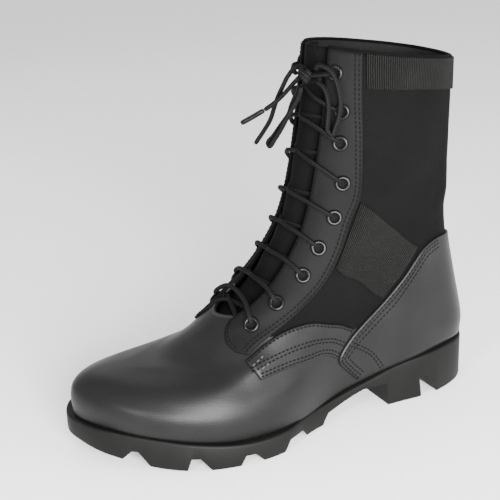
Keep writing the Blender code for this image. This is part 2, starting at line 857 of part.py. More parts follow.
def lace_bar():
    """Lowest lace, over both facings from eyelet to eyelet."""
    around, level, face = facing_frame(1, 0)
    begin = beside_eyelet(around)
    reach = 2.0 - 2.0 * begin
    height = surface(begin, level).z
    points = []
    for i in range(BAR_STEPS + 1):
        share = i / BAR_STEPS
        place = begin + reach * share
        level = level_at(place, height + BAR_RISE * math.sin(math.pi * share))
        points.append(skin(place, level, face + LACE_REST + LACE_RADIUS))
    return points


def add_laces(look, collection, root):
    """The lowest bar and a crossing between each two rows of eyelets."""
    add_object("lace_bar", tube_mesh("lace_bar", lace_bar(), LACE_RADIUS), look, collection, root)
    for number in range(len(EYELETS) - 1):
        name = "lace_crossing_%d" % (number + 1)
        rising = add_object(name, tube_mesh(name, lace_run(1, number, number + 1), LACE_RADIUS),
                            look, collection, root)
        falling = add_object("falling", tube_mesh("falling", lace_run(-1, number, number + 1),
                                                  LACE_RADIUS), look, collection, root)
        bpy.context.view_layer.update()
        join = rising.modifiers.new("join", "BOOLEAN")
        join.operation = "UNION"
        join.object = falling
        evaluated = rising.evaluated_get(bpy.context.evaluated_depsgraph_get())
        joined = bpy.data.meshes.new_from_object(evaluated)
        rising.modifiers.remove(join)
        rising.data = joined
        bpy.data.objects.remove(falling, do_unlink=True)


def add_bow(look, cap, collection, root):
    """Knot, two loops and two ends of the lace, each a cord of its own."""
    for name, table, radius, surface_look in (
            ("lace_knot", KNOT, KNOT_RADIUS, look),
            ("lace_loop_long", LOOP_LONG, LACE_RADIUS, look),
            ("lace_loop_short", LOOP_SHORT, LACE_RADIUS, look),
            ("lace_end_left", END_LEFT, LACE_RADIUS, look),
            ("lace_end_right", END_RIGHT, LACE_RADIUS, look),
            ("lace_aglet", AGLET, AGLET_RADIUS, cap)):
        points = [Vector(row) * COLLAR_HEIGHT for row in table]
        made = bpy.data.objects.new(name, cord_curve(name, points, radius))
        made.data.materials.append(surface_look)
        collection.objects.link(made)
        made.parent = root


def main():
    clear_scene()
    scene = bpy.context.scene
    boot = bpy.data.collections.new("jungle_boot")
    cutters = bpy.data.collections.new("cutters")
    scene.collection.children.link(boot)
    scene.collection.children.link(cutters)
    root = bpy.data.objects.new("boot_root", None)
    boot.objects.link(root)
    root.location = (-HEEL_REST, 0.0, 0.0)

    rubber = material("rubber", (0.03, 0.03, 0.028), 0.6)
    leather = material("leather", (0.02, 0.02, 0.02), 0.35)
    canvas = material("canvas", (0.018, 0.018, 0.017), 0.9)
    webbing = material("webbing", (0.02, 0.02, 0.018), 0.85)
    board = material("insole_board", (0.05, 0.045, 0.04), 0.9)
    metal = material("black_metal", (0.02, 0.02, 0.02), 0.3, 0.8)
    cord = material("lace", (0.012, 0.012, 0.012), 0.8)

    sole = add_object("outsole", sole_mesh(), rubber, boot, root)
    cut_tread(sole, cutters, root)
    add_object("insole", insole_mesh(), board, boot, root)
    add_object("upper", upper_mesh(), leather, boot, root)
    add_object("tongue", tongue_mesh(), canvas, boot, root)

    for side, label in ((1, "lateral"), (-1, "medial")):
        rows = [between((side * around, level), spot(side, along, height), 5)
                for around, level, along, height in EYESTAY]
        add_object("eyestay_" + label, trim_mesh("eyestay_" + label, rows, TRIM_THICK), leather,
                   boot, root)
        for name, table, steps, look, thick in (
                ("ankle_strap_", STRAP, 7, webbing, BAND_THICK),
                ("side_panel_", SIDE_PANEL, 4, leather, TRIM_THICK)):
            rows = [straight(side, row[:2], row[2:], steps) for row in table]
            add_object(name + label, trim_mesh(name + label, rows, thick), look, boot, root)
    add_object("heel_counter", trim_mesh("heel_counter", round_back(COUNTER, 15), TRIM_THICK),
               leather, boot, root)
    band = round_back(COLLAR_BAND, 16, BAND_SWELL)
    add_object("collar_band", trim_mesh("collar_band", band, BAND_THICK),
               webbing, boot, root)
    levels = between((back_level(BACKSTAY_FROM),), (back_level(BACKSTAY_TO),), 10)
    rows = [[(BACKSTAY_HALF * (1 - k), level) for k in range(3)] for (level,) in levels]
    add_object("backstay", trim_mesh("backstay", rows, BAND_THICK), canvas, boot, root)
    add_eyelets(metal, boot, root)
    add_laces(cord, boot, root)
    add_bow(cord, metal, boot, root)


main()
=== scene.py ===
"""Looks of the jungle boot: leather, canvas, webbing, stitches, laces and the lugged sole.

All shapes are worked out in the part's own measure, where x is 0 at the sole's heel back, and are
moved by HEEL_REST into the frame when they become pieces.
"""
import math

import bmesh
import bpy
from mathutils import Matrix, Vector


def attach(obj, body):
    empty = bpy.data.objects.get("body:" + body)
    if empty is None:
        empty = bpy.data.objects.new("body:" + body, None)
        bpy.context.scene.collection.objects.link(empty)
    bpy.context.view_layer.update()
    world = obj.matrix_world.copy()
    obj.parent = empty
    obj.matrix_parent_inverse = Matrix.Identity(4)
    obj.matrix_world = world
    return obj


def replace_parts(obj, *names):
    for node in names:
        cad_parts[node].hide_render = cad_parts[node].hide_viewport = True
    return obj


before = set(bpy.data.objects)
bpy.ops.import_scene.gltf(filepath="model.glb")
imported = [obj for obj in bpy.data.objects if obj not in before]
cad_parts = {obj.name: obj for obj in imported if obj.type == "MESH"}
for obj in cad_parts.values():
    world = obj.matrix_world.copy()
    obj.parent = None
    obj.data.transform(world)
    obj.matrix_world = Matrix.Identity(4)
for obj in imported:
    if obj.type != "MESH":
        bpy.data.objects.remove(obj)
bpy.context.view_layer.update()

# Driving sizes, as in the part
SOLE_LENGTH = 0.308
COLLAR_HEIGHT = 0.243
BALL_WIDTH = 0.112
HEEL_WIDTH = 0.075
HEEL_HEIGHT = 0.034
TOE_SPRING = 0.014
WALL = 0.0022
GAP = 0.0003
SEAT_GAP = 0.0005
HEEL_REST = 0.022
TRIM_LIFT = 0.0006
TRIM_THICK = 0.0013
BAND_THICK = 0.0010
INSOLE_THICK = 0.0030
INSOLE_CLEARANCE = 0.0012
TONGUE_THICK = 0.0025
FACE = TRIM_LIFT + TRIM_THICK
SIDES = ((1, "lateral"), (-1, "medial"))

SOLE_OUTLINE = (
    # along, lateral, medial
    (0.000, 0.00, 0.00),
    (0.035, 0.60, 0.60),
    (0.129, 0.99, 0.99),
    (0.273, 1.01, 0.91),
    (0.397, 1.03, 0.71),
    (0.513, 0.84, 0.60),
    (0.591, 1.03, 0.78),
    (0.695, 1.05, 0.95),
    (0.795, 0.89, 0.96),
    (0.874, 0.63, 0.93),
    (0.930, 0.38, 0.88),
    (0.964, 0.18, 0.79),
    (0.990, -0.12, 0.59),
    (1.000, -0.34, 0.34),
)
HEEL_ROWS = 5
SOLE_PROFILE = (
    # along, rim, tread
    (0.000, 0.97, 0.00),
    (0.129, 1.01, 0.00),
    (0.268, 0.87, 0.00),
    (0.338, 0.71, 0.00),
    (0.447, 0.53, 0.00),
    (0.527, 0.48, 0.00),
    (0.695, 0.47, 0.00),
    (0.785, 0.57, 0.00),
    (0.864, 0.69, 0.18),
    (0.944, 0.79, 0.62),
    (1.000, 0.82, 1.00),
)
NOTCHES = (
    # rear foot, front foot, rear top, front top, depth
    (0.520, 0.591, 0.536, 0.574, 0.23),
    (0.646, 0.704, 0.669, 0.691, 0.21),
    (0.760, 0.815, 0.786, 0.805, 0.28),
    (0.873, 0.932, 0.899, 0.912, 0.27),
)
HEEL_NOTCH = (0.136, 0.186, 0.166, 0.192, 0.47)
ARCH = (
    # along, height as a share of HEEL_HEIGHT
    (0.275, -0.10),
    (0.282, 0.53),
    (0.348, 0.55),
    (0.451, 0.30),
    (0.467, 0.08),
    (0.520, 0.06),
    (0.556, -0.10),
)
NOTCH_SLANT = -0.22
NOTCH_REACH = 0.0065

SECTION_LINES = (
    # back along, back height, front along, front swing, front height, settle
    (0.011, 0.140, 0.988, -0.300, 0.117, 1.00),
    (0.008, 0.198, 0.990, -0.300, 0.173, 0.95),
    (0.016, 0.255, 0.978, -0.300, 0.208, 0.90),
    (0.027, 0.317, 0.940, -0.250, 0.238, 0.85),
    (0.038, 0.379, 0.876, -0.180, 0.262, 0.80),
    (0.050, 0.440, 0.799, -0.120, 0.280, 0.65),
    (0.061, 0.514, 0.724, -0.071, 0.325, 0.50),
    (0.064, 0.584, 0.659, -0.054, 0.370, 0.35),
    (0.061, 0.658, 0.574, -0.036, 0.444, 0.20),
    (0.064, 0.733, 0.507, -0.036, 0.543, 0.10),
    (0.066, 0.804, 0.468, -0.036, 0.658, 0.00),
    (0.069, 0.902, 0.437, -0.036, 0.848, 0.00),
    (0.068, 1.010, 0.414, -0.036, 1.080, 0.00),
)
STATIONS = (0.05, 0.15, 0.40, 0.60, 0.77, 0.93)
LATERAL_HALF = (
    # heel back, heel, waist, joint, ball, toe
    (0.68, 0.95, 0.95, 0.96, 0.89, 0.38),
    (0.69, 0.95, 0.96, 0.99, 0.93, 0.42),
    (0.67, 0.92, 0.97, 0.96, 0.89, 0.36),
    (0.64, 0.89, 0.97, 0.86, 0.83, 0.32),
    (0.61, 0.85, 0.94, 0.78, 0.77, 0.20),
    (0.60, 0.83, 0.93, 0.71, 0.70, 0.31),
    (0.59, 0.83, 0.92, 0.64, 0.62, 0.33),
    (0.56, 0.79, 0.92, 0.63, 0.59, 0.38),
    (0.55, 0.75, 0.91, 0.63, 0.57, 0.36),
    (0.55, 0.75, 0.93, 0.65, 0.56, 0.34),
    (0.56, 0.77, 0.99, 0.68, 0.57, 0.33),
    (0.59, 0.81, 1.03, 0.70, 0.59, 0.33),
    (0.57, 0.82, 1.05, 0.71, 0.59, 0.33),
)
MEDIAL_HALF = (
    # heel back, heel, waist, joint, ball, toe
    (0.68, 0.95, 0.66, 0.71, 0.89, 0.81),
    (0.68, 0.95, 0.70, 0.74, 0.92, 0.83),
    (0.66, 0.92, 0.75, 0.74, 0.89, 0.77),
    (0.63, 0.89, 0.80, 0.69, 0.85, 0.62),
    (0.61, 0.85, 0.83, 0.64, 0.76, 0.45),
    (0.60, 0.83, 0.85, 0.62, 0.68, 0.44),
    (0.59, 0.83, 0.88, 0.61, 0.60, 0.39),
    (0.56, 0.79, 0.89, 0.61, 0.57, 0.38),
    (0.55, 0.75, 0.89, 0.62, 0.55, 0.36),
    (0.55, 0.75, 0.92, 0.63, 0.55, 0.34),
    (0.56, 0.77, 0.97, 0.67, 0.56, 0.33),
    (0.59, 0.81, 1.01, 0.69, 0.58, 0.33),
    (0.57, 0.82, 1.04, 0.70, 0.58, 0.33),
)
AROUND = (0.0, 0.106, 0.196, 0.408, 0.580, 0.722, 0.878, 1.0)
THROAT_EDGE = 0.898
TOP_SECTION = len(SECTION_LINES) - 1
THROAT_LEVEL = 7.06

EYELETS = (
    # along, height
    (0.615, 0.348),
    (0.556, 0.399),
    (0.490, 0.465),
    (0.448, 0.535),
    (0.409, 0.617),
    (0.388, 0.712),
    (0.388, 0.823),
    (0.382, 0.909),
    (0.388, 1.012),
)
EYESTAY = (
    # front around, front level, rear along, rear height
    (0.894, 12.00, 0.340, 1.080),
    (0.894, 11.00, 0.345, 0.938),
    (0.894, 10.20, 0.346, 0.811),
    (0.894, 9.60, 0.351, 0.679),
    (0.894, 9.10, 0.376, 0.600),
    (0.894, 8.50, 0.403, 0.518),
    (0.894, 7.90, 0.447, 0.438),
    (0.900, 7.40, 0.505, 0.378),
    (0.920, 6.95, 0.556, 0.340),
    (0.896, 6.40, 0.596, 0.314),
    (0.850, 5.85, 0.625, 0.294),
    (0.795, 5.38, 0.641, 0.280),
)
COUNTER = (
    # edge along, edge height, back height
    (0.362, 0.110, 0.143),
    (0.390, 0.147, 0.197),
    (0.415, 0.193, 0.255),
    (0.389, 0.242, 0.315),
    (0.348, 0.285, 0.360),
    (0.290, 0.338, 0.400),
    (0.234, 0.400, 0.430),
    (0.207, 0.437, 0.442),
    (0.181, 0.470, 0.452),
    (0.155, 0.484, 0.458),
    (0.129, 0.490, 0.462),
)
STRAP = (
    # front along, front height, rear along, rear height
    (0.353, 0.655, 0.195, 0.482),
    (0.364, 0.618, 0.215, 0.450),
    (0.381, 0.568, 0.238, 0.415),
    (0.399, 0.518, 0.264, 0.380),
    (0.417, 0.475, 0.292, 0.350),
)
SIDE_PANEL = (
    # top along, top height, bottom along, bottom height
    (0.652, 0.268, 0.634, 0.223),
    (0.612, 0.296, 0.592, 0.229),
    (0.568, 0.322, 0.548, 0.233),
    (0.522, 0.334, 0.507, 0.233),
    (0.472, 0.330, 0.472, 0.233),
    (0.417, 0.308, 0.445, 0.222),
    (0.376, 0.280, 0.425, 0.204),
)
COLLAR_BAND = (
    # edge along, edge height, back height
    (0.336, 0.967, 0.905),
    (0.336, 1.020, 0.957),
    (0.334, 1.075, 1.010),
)
BARTACKS = (
    # front along and height, rear along and height
    ((0.645, 0.256), (0.612, 0.277)),
    ((0.640, 0.243), (0.606, 0.259)),
)
BACK_EASE = 1.25
BAND_SWELL = 0.15
BACKSTAY_HALF = 0.026
BACKSTAY_FROM = 0.470
BACKSTAY_TO = 0.895

# Cord of the bow, a point after the other, as shares of COLLAR_HEIGHT, as in the part
LACE_RADIUS = 0.0016
LACE_RISE = 0.006
BAR_RISE = 0.013
KNOT = (
    # along, across, height
    (0.5570, 0.0220, 0.9880),
    (0.5535, 0.0300, 1.0060),
    (0.5500, 0.0380, 1.0240),
)
LOOP_LONG = (
    # along, across, height
    (0.5395, 0.0620, 1.0230),
    (0.5365, 0.0760, 1.0350),
    (0.5300, 0.0900, 1.0330),
    (0.5180, 0.1060, 1.0220),
    (0.5110, 0.1180, 1.0010),
    (0.5055, 0.1260, 0.9700),
    (0.5035, 0.1310, 0.9400),
    (0.5075, 0.1300, 0.9050),
    (0.5140, 0.1230, 0.8740),
    (0.5215, 0.1140, 0.8510),
    (0.5275, 0.1060, 0.8600),
    (0.5275, 0.1040, 0.8850),
    (0.5240, 0.1030, 0.9150),
    (0.5230, 0.0980, 0.9450),
    (0.5270, 0.0860, 0.9740),
    (0.5370, 0.0650, 0.9900),
)
LOOP_SHORT = (
    # along, across, height
    (0.5640, 0.0160, 0.9760),
    (0.5700, 0.0030, 0.9420),
    (0.5720, -0.0120, 0.9180),
    (0.5720, -0.0320, 0.8860),
    (0.5850, -0.0520, 0.8540),
    (0.6010, -0.0700, 0.8200),
    (0.6150, -0.0780, 0.8000),
    (0.6170, -0.0650, 0.7930),
    (0.6060, -0.0490, 0.8180),
    (0.5950, -0.0290, 0.8520),
    (0.5860, -0.0110, 0.8860),
    (0.5780, 0.0060, 0.9140),
    (0.5700, 0.0180, 0.9380),
    (0.5660, 0.0320, 0.9720),
)
END_LEFT = (
    # along, across, height
    (0.5455, 0.0195, 1.0175),
    (0.5480, -0.0060, 1.0220),
    (0.5560, -0.0240, 1.0130),
    (0.5660, -0.0420, 0.9900),
    (0.5750, -0.0600, 0.9560),
    (0.5820, -0.0780, 0.9220),
    (0.5860, -0.0920, 0.8900),
    (0.5890, -0.1060, 0.8600),
    (0.6020, -0.1240, 0.8240),
    (0.6230, -0.1400, 0.7850),
)
END_RIGHT = (
    # along, across, height
    (0.5515, -0.0020, 0.9930),
    (0.5600, -0.0160, 0.9770),
    (0.5715, -0.0300, 0.9570),
    (0.5860, -0.0480, 0.9330),
    (0.6040, -0.0640, 0.9120),
    (0.6220, -0.0780, 0.8960),
)
AGLET = (
    # along, across, height
    (0.6240, -0.0800, 0.8945),
    (0.6500, -0.1000, 0.8750),
    (0.6760, -0.1190, 0.8570),
)

# Soft folds of the upper: a middle point, a direction, half its length and half its width as
# shares of COLLAR_HEIGHT, and a depth in metres (below 0 for a trough).
FOLDS = (
    # side, along, height, run, rise, half length, half width, depth
    (0, 0.215, 0.640, 0.9, -0.40, 0.140, 0.030, -0.0004),
    (0, 0.235, 0.700, 0.9, -0.30, 0.150, 0.032, 0.0004),
    (0, 0.300, 0.425, 0.7, 0.70, 0.100, 0.022, -0.0007),
    (0, 0.250, 0.850, 0.3, 1.00, 0.110, 0.045, 0.0009),
    (0, 0.140, 0.800, 0.1, 1.00, 0.150, 0.040, -0.0007),
    (0, 0.105, 0.600, 0.8, -0.60, 0.080, 0.022, 0.0007),
    (1, 0.690, 0.262, 0.5, 0.85, 0.090, 0.035, -0.0007),
    (-1, 0.680, 0.250, 0.5, 0.85, 0.090, 0.035, -0.0007),
)
# How far a fold is felt, in half lengths, and how close to the middle it fades, in metres
FOLD_REACH = 2.5
FOLD_FADE = 0.015

# Upper: canvas behind and above these, its grid, and the collar rim
CANVAS_ALONG = 0.180
CANVAS_HEIGHT = 0.066
SKIN_COLUMNS = 96
SKIN_ROWS = 102
RIM_SHARE = 0.62
RIM_RAISE = 0.0004
# Trims: thickness at the rim and place of the row beside it, as shares of what lies inside
EDGE_THICK = 0.35
EDGE_STEP = 0.35

# Tongue: first level, first place and width round the foot, where it fills the throat, and
# its ripple
TONGUE_FROM = 6.1
TONGUE_EDGE = 0.80
TONGUE_SPAN = 0.40
FILL_FROM = 7.4
FILL_OVER = 1.2
TONGUE_SUNK = WALL + 2 * GAP + 0.0022
TONGUE_SHOWS = 0.0010
TONGUE_ROUND = 0.8
RIPPLE_HEIGHT = 0.0004
RIPPLE_TURNS = 9.0

# Rounded edges of the sole: inset, and drop from the rim or rise from the tread
RIM_ROUND = ((0.0030, 0.0), (0.0010, 0.0002), (0.0003, 0.0008), (0.0, 0.0018))
TREAD_ROUND = ((0.0, 0.0012), (0.0003, 0.0004), (0.0010, 0.0))
SHARP_ANGLE = math.radians(35)
LUG_BEVEL = 0.0006

# Eyelet ring from its hole to its outer edge: radius and height over the facing
RING_PROFILE = ((0.0029, 0.0002), (0.0030, 0.0008), (0.0034, 0.0013), (0.0042, 0.0015),
                (0.0050, 0.0012), (0.0055, 0.0005), (0.0056, 0.0))

# Laces: depth in an eyelet, height over the facings, and shares of a run
EYELET_DEPTH = 0.0012
LACE_HIGH = FACE + LACE_RADIUS + 0.0008
BAR_DIP = 0.09
STRAND_DIP = 0.13
STRAND_END = 0.80
FIRST_START = 0.14
SINK_FROM = 0.30
SINK_OVER = 0.50
SINK_CLEAR = 0.0004
CROSS_AT = 0.55
CROSS_WIDTH = 0.10
CROSS_OVER = 0.0016
CROSS_UNDER = -0.0004
# Laces of the highest eyelets: level and places round the foot at which they reach the knot
TOP_LEVEL = 11.66
TOP_ENDS = {1: 0.952, -1: -0.990}
TOP_DIP = 0.3
TOP_CLEAR = 0.0022

# Knot: turns, height, tilt and reach of its winding, and the place that it faces
KNOT_TURNS = 2.2
KNOT_HEIGHT = 0.0062
KNOT_TILT = 0.0012
KNOT_ACROSS = 0.0040
KNOT_FORWARD = 0.0024
KNOT_PLACE = (0.96, 11.6)

# Stitches: sizes, then the place and size of each row of points and the arc across it
STITCH_PITCH = 0.0031
STITCH_LENGTH = 0.0024
STITCH_WIDTH = 0.0006
STITCH_HIGH = 0.0004
STITCH_SINK = 0.00005
STITCH_ROWS = ((-0.5, 0.15), (-0.36, 0.8), (0.0, 1.0), (0.36, 0.8), (0.5, 0.15))
STITCH_ARC = ((-1.0, 0.0), (-0.7, 0.75), (0.0, 1.0), (0.7, 0.75), (1.0, 0.0))
# Distances of the seams from the edge or line that they follow, below 0 for the other side
STAY_SEAMS = (-0.0022, -0.0048)
STAY_FRONT_SEAM = 0.0024
PANEL_TOP_SEAM = -0.0020
PANEL_LOW_SEAMS = (0.0018, 0.0042)
COUNTER_SEAMS = (-0.0020, -0.0044, -0.0075)
DOUBLE_SEAM = (0.0, 0.0024)
# Place of the side panel's middle seams, as a share of the way down
PANEL_MIDDLE = 0.55
QUARTER_SEAM = ((0.377, 0.228), (0.338, 0.193), (0.312, 0.156), (0.299, 0.128))


def curve_at(knots, places, place):
    """Cubic through knots (tuples) at rising places, with slopes from the neighbours."""
    last = len(places) - 1
    i = 0
    while i < last - 1 and place > places[i + 1]:
        i += 1
    span = places[i + 1] - places[i]
    t = (place - places[i]) / span

    def rate(k):
        return [(b - a) / (places[k + 1] - places[k]) for a, b in zip(knots[k], knots[k + 1])]

    def slope(k):
        if k in (0, last):
            return rate(min(k, last - 1))
        before = places[k] - places[k - 1]
        after = places[k + 1] - places[k]
        return [(n * before + m * after) / (before + after) for m, n in zip(rate(k - 1), rate(k))]

    start = slope(i)
    end = slope(i + 1)
    h00 = 2 * t ** 3 - 3 * t ** 2 + 1
    h10 = t ** 3 - 2 * t ** 2 + t
    h01 = -2 * t ** 3 + 3 * t ** 2
    h11 = t ** 3 - t ** 2
    return [h00 * a + h10 * span * m + h01 * b + h11 * span * n
            for a, b, m, n in zip(knots[i], knots[i + 1], start, end)]


def profile(x):
    """Heights of the sole's rim and of its tread at x."""
    rows = SOLE_PROFILE
    along = min(max(x / SOLE_LENGTH, 0.0), 1.0)
    rim, tread = curve_at([row[1:] for row in rows], [row[0] for row in rows], along)
    return rim * HEEL_HEIGHT, max(tread, 0.0) * TOE_SPRING


def sole_outline(steps):
    """Closed outline of the sole: steps points to the toe on the lateral side, steps back."""
    half = []
    for i, (along, lateral, medial) in enumerate(SOLE_OUTLINE):
        width = (HEEL_WIDTH if i < HEEL_ROWS else BALL_WIDTH) / 2
        half.append((along * SOLE_LENGTH, lateral * width, -medial * width))
    knots = [(x, y) for x, y, _ in half] + [(x, y) for x, _, y in half[-2:0:-1]]
    ring = knots[-2:] + knots + knots[:3]
    places = [0.0]
    for a, b in zip(ring, ring[1:]):
        places.append(places[-1] + math.dist(a, b))
    start = places[2]
    middle = places[2 + len(half) - 1]
    end = places[2 + len(knots)]
    points = []
    for i in range(steps):
        points.append(curve_at(ring, places, start + (middle - start) * i / steps))
    for i in range(steps):
        points.append(curve_at(ring, places, middle + (end - middle) * i / steps))
    return points


def inset(outline, amount):
    """Move each point of a closed outline inwards."""
    moved = []
    for i, point in enumerate(outline):
        before = outline[i - 1]
        after = outline[(i + 1) % len(outline)]
        run = Vector((after[0] - before[0], after[1] - before[1])).normalized()
        moved.append((point[0] + run.y * amount, point[1] - run.x * amount))
    return moved


def section(level):
    """Closed ring of knots of the upper at a level from 0 (sole) to TOP_SECTION (collar)."""
    levels = list(range(len(SECTION_LINES)))
    back, back_z, front, swing, front_z, settle = curve_at(SECTION_LINES, levels, level)
    lateral = curve_at(LATERAL_HALF, levels, level)
    medial = curve_at(MEDIAL_HALF, levels, level)
    back *= SOLE_LENGTH
    front *= SOLE_LENGTH
    back_z *= COLLAR_HEIGHT
    front_z *= COLLAR_HEIGHT
    sides = []
    for share, outer, inner, i in zip(STATIONS, lateral, medial, range(6)):
        width = (HEEL_WIDTH if i < 3 else BALL_WIDTH) / 2
        x = back + (front - back) * share
        z = back_z + (front_z - back_z) * share
        sides.append(((x, outer * width, z), (x, -inner * width, z)))
    tail = (back, 0.0, back_z)
    tip = (front, swing * BALL_WIDTH / 2, front_z)
    ring = [tail] + [side[0] for side in sides] + [tip] + [side[1] for side in sides[::-1]]
    return ring, settle


RING_PLACES = list(AROUND) + [2.0 - place for place in AROUND[-2:0:-1]]
SECTIONS = {}


def base_line(x):
    """Height at x of the straight line between the ends of the lowest section."""
    back, back_z, front, _, front_z, _ = SECTION_LINES[0]
    share = (x / SOLE_LENGTH - back) / (front - back)
    return (back_z + (front_z - back_z) * share) * COLLAR_HEIGHT


def surface(around, level):
    """Point of the upper's outer face; around is 0 at the back, 1 or -1 at the front."""
    level = min(max(level, 0.0), TOP_SECTION)
    key = round(level, 5)
    if key not in SECTIONS:
        ring, settle = section(level)
        knots = ring[-2:] + ring + ring[:3]
        places = [place - 2.0 for place in RING_PLACES[-2:]] + RING_PLACES
        places += [place + 2.0 for place in RING_PLACES[:3]]
        SECTIONS[key] = (knots, places, settle)
    knots, places, settle = SECTIONS[key]
    x, y, z = curve_at(knots, places, around % 2.0)
    return Vector((x, y, z + settle * (profile(x)[0] + SEAT_GAP - base_line(x))))


def normal(around, level):
    """Outward direction of the upper's outer face."""
    step = 0.004
    low = max(level - 0.05, 0.0)
    high = min(level + 0.05, TOP_SECTION)
    run = surface(around + step, level) - surface(around - step, level)
    rise = surface(around, high) - surface(around, low)
    return rise.cross(run).normalized()


def relief(point):
    """Height of the soft folds at a point of the upper."""
    total = 0.0
    for side, along, height, run, rise, long_half, wide_half, depth in FOLDS:
        if side * point.y < 0.0:
            continue
        scale = math.hypot(run, rise)
        dx = point.x - along * SOLE_LENGTH
        dz = point.z - height * COLLAR_HEIGHT
        down = (dx * run + dz * rise) / scale / (long_half * COLLAR_HEIGHT)
        over = (dz * run - dx * rise) / scale / (wide_half * COLLAR_HEIGHT)
        if abs(down) < FOLD_REACH and abs(over) < FOLD_REACH:
            total += depth * math.exp(-down * down - over * over)
    return total * min(1.0, abs(point.y) / FOLD_FADE)


def skin(around, level, lift):
    """Point at a height over the upper's outer face, folds included."""
    point = surface(around, level)
    return point + normal(around, level) * (lift + relief(point))


def find(side, x, z):
    """Place on the upper, as (around, level), that is seen at x, z from its side (1 or -1)."""
    best = None
    for i in range(1, 28):
        for k in range(37):
            point = surface(side * i / 28, k * TOP_SECTION / 36)
            miss = math.hypot(point.x - x, point.z - z)
            if best is None or miss < best[0]:
                best = (miss, side * i / 28, k * TOP_SECTION / 36)
    _, around, level = best
    for _ in range(8):
        point = surface(around, level)
        across = (surface(around + 0.002, level) - point) / 0.002
        up = (surface(around, level + 0.01) - point) / 0.01
        if level > TOP_SECTION - 0.02:
            up = (point - surface(around, level - 0.01)) / 0.01
        scale = across.x * up.z - across.z * up.x
        if abs(scale) < 1e-9:
            break
        dx = x - point.x
        dz = z - point.z
        around += max(-0.03, min(0.03, (dx * up.z - dz * up.x) / scale))
        level += max(-0.3, min(0.3, (across.x * dz - across.z * dx) / scale))
        level = min(max(level, 0.0), TOP_SECTION)
    return around, level


def spot(side, along, height):
    return find(side, along * SOLE_LENGTH, height * COLLAR_HEIGHT)


def level_at(around, height):
    """Level at which the upper's outer face reaches a height in metres."""
    low = 0.0
    high = float(TOP_SECTION)
    for _ in range(30):
        middle = (low + high) / 2
        if surface(around, middle).z < height:
            low = middle
        else:
            high = middle
    return (low + high) / 2


def back_level(height):
    """Level of the back line at a height given as a share of COLLAR_HEIGHT."""
    return level_at(0.0, height * COLLAR_HEIGHT)


# Materials

class Nodes:
    """Small helper that adds and links shader nodes of one material."""

    def __init__(self, name, colour, roughness, specular=0.5):
        self.material = bpy.data.materials.new(name)
        self.material.use_nodes = True
        self.tree = self.material.node_tree
        self.shader = self.tree.nodes["Principled BSDF"]
        self.shader.inputs["Base Color"].default_value = (*colour, 1.0)
        self.shader.inputs["Roughness"].default_value = roughness
        self.shader.inputs["Specular IOR Level"].default_value = specular
        self.place = self.add("ShaderNodeTexCoord")

    def add(self, kind, **values):
        node = self.tree.nodes.new(kind)
        for name, value in values.items():
            setattr(node, name, value)
        return node

    def link(self, start, end):
        self.tree.links.new(start, end)

    def runs(self):
        """The two UV values of a point."""
        parts = self.add("ShaderNodeSeparateXYZ")
        self.link(self.place.outputs["UV"], parts.inputs[0])
        return parts.outputs["X"], parts.outputs["Y"]

    def noise(self, scale, detail=4.0):
        node = self.add("ShaderNodeTexNoise")
        node.inputs["Scale"].default_value = scale
        node.inputs["Detail"].default_value = detail
        self.link(self.place.outputs["Object"], node.inputs["Vector"])
        return node.outputs["Fac"]

    def cells(self, scale):
        node = self.add("ShaderNodeTexVoronoi", feature="DISTANCE_TO_EDGE")
        node.inputs["Scale"].default_value = scale
        self.link(self.place.outputs["Object"], node.inputs["Vector"])
        return node.outputs["Distance"]

    def math(self, operation, first, second=0.0, clamp=False):
        node = self.add("ShaderNodeMath", operation=operation, use_clamp=clamp)
        for socket, value in zip(node.inputs, (first, second)):
            if isinstance(value, (int, float)):
                socket.default_value = value
            else:
                self.link(value, socket)
        return node.outputs[0]

    def plus(self, first, second):
        return self.math("ADD", first, second)

    def times(self, first, second, clamp=False):
        return self.math("MULTIPLY", first, second, clamp)

    def ramp(self, value, low, high):
        """Value from 0 to 1 brought to the range from low to high."""
        return self.plus(self.times(value, high - low), low)

    def wave(self, value, pitch):
        """Ridges from 0 to 1 along a length, one for each pitch."""
        return self.ramp(self.math("SINE", self.times(value, 2 * math.pi / pitch)), 0.5, 1.0)

    def colour(self, value, dark, light):
        node = self.add("ShaderNodeMix", data_type="RGBA")
        node.inputs["A"].default_value = (*dark, 1.0)
        node.inputs["B"].default_value = (*light, 1.0)
        self.link(value, node.inputs["Factor"])
        self.link(node.outputs["Result"], self.shader.inputs["Base Color"])

    def roughness(self, value, low, high):
        self.link(self.ramp(value, low, high), self.shader.inputs["Roughness"])

    def bump(self, height, distance, strength):
        node = self.add("ShaderNodeBump")
        node.inputs["Strength"].default_value = strength
        node.inputs["Distance"].default_value = distance
        self.link(height, node.inputs["Height"])
        self.link(node.outputs["Normal"], self.shader.inputs["Normal"])


def grey(value):
    return (value, value, value)


def make_leather(name, shine, gloss):
    nodes = Nodes(name, (0.010, 0.010, 0.011), shine, gloss)
    broad = nodes.noise(28.0)
    fine = nodes.noise(1500.0, 2.0)
    grain = nodes.math("MINIMUM", nodes.cells(620.0), 0.25)
    nodes.colour(broad, grey(0.0022), grey(0.0065))
    nodes.roughness(broad, shine - 0.06, shine + 0.10)
    nodes.bump(nodes.plus(nodes.times(grain, 2.4), nodes.times(fine, 0.5)), 0.00010, 0.55)
    return nodes.material


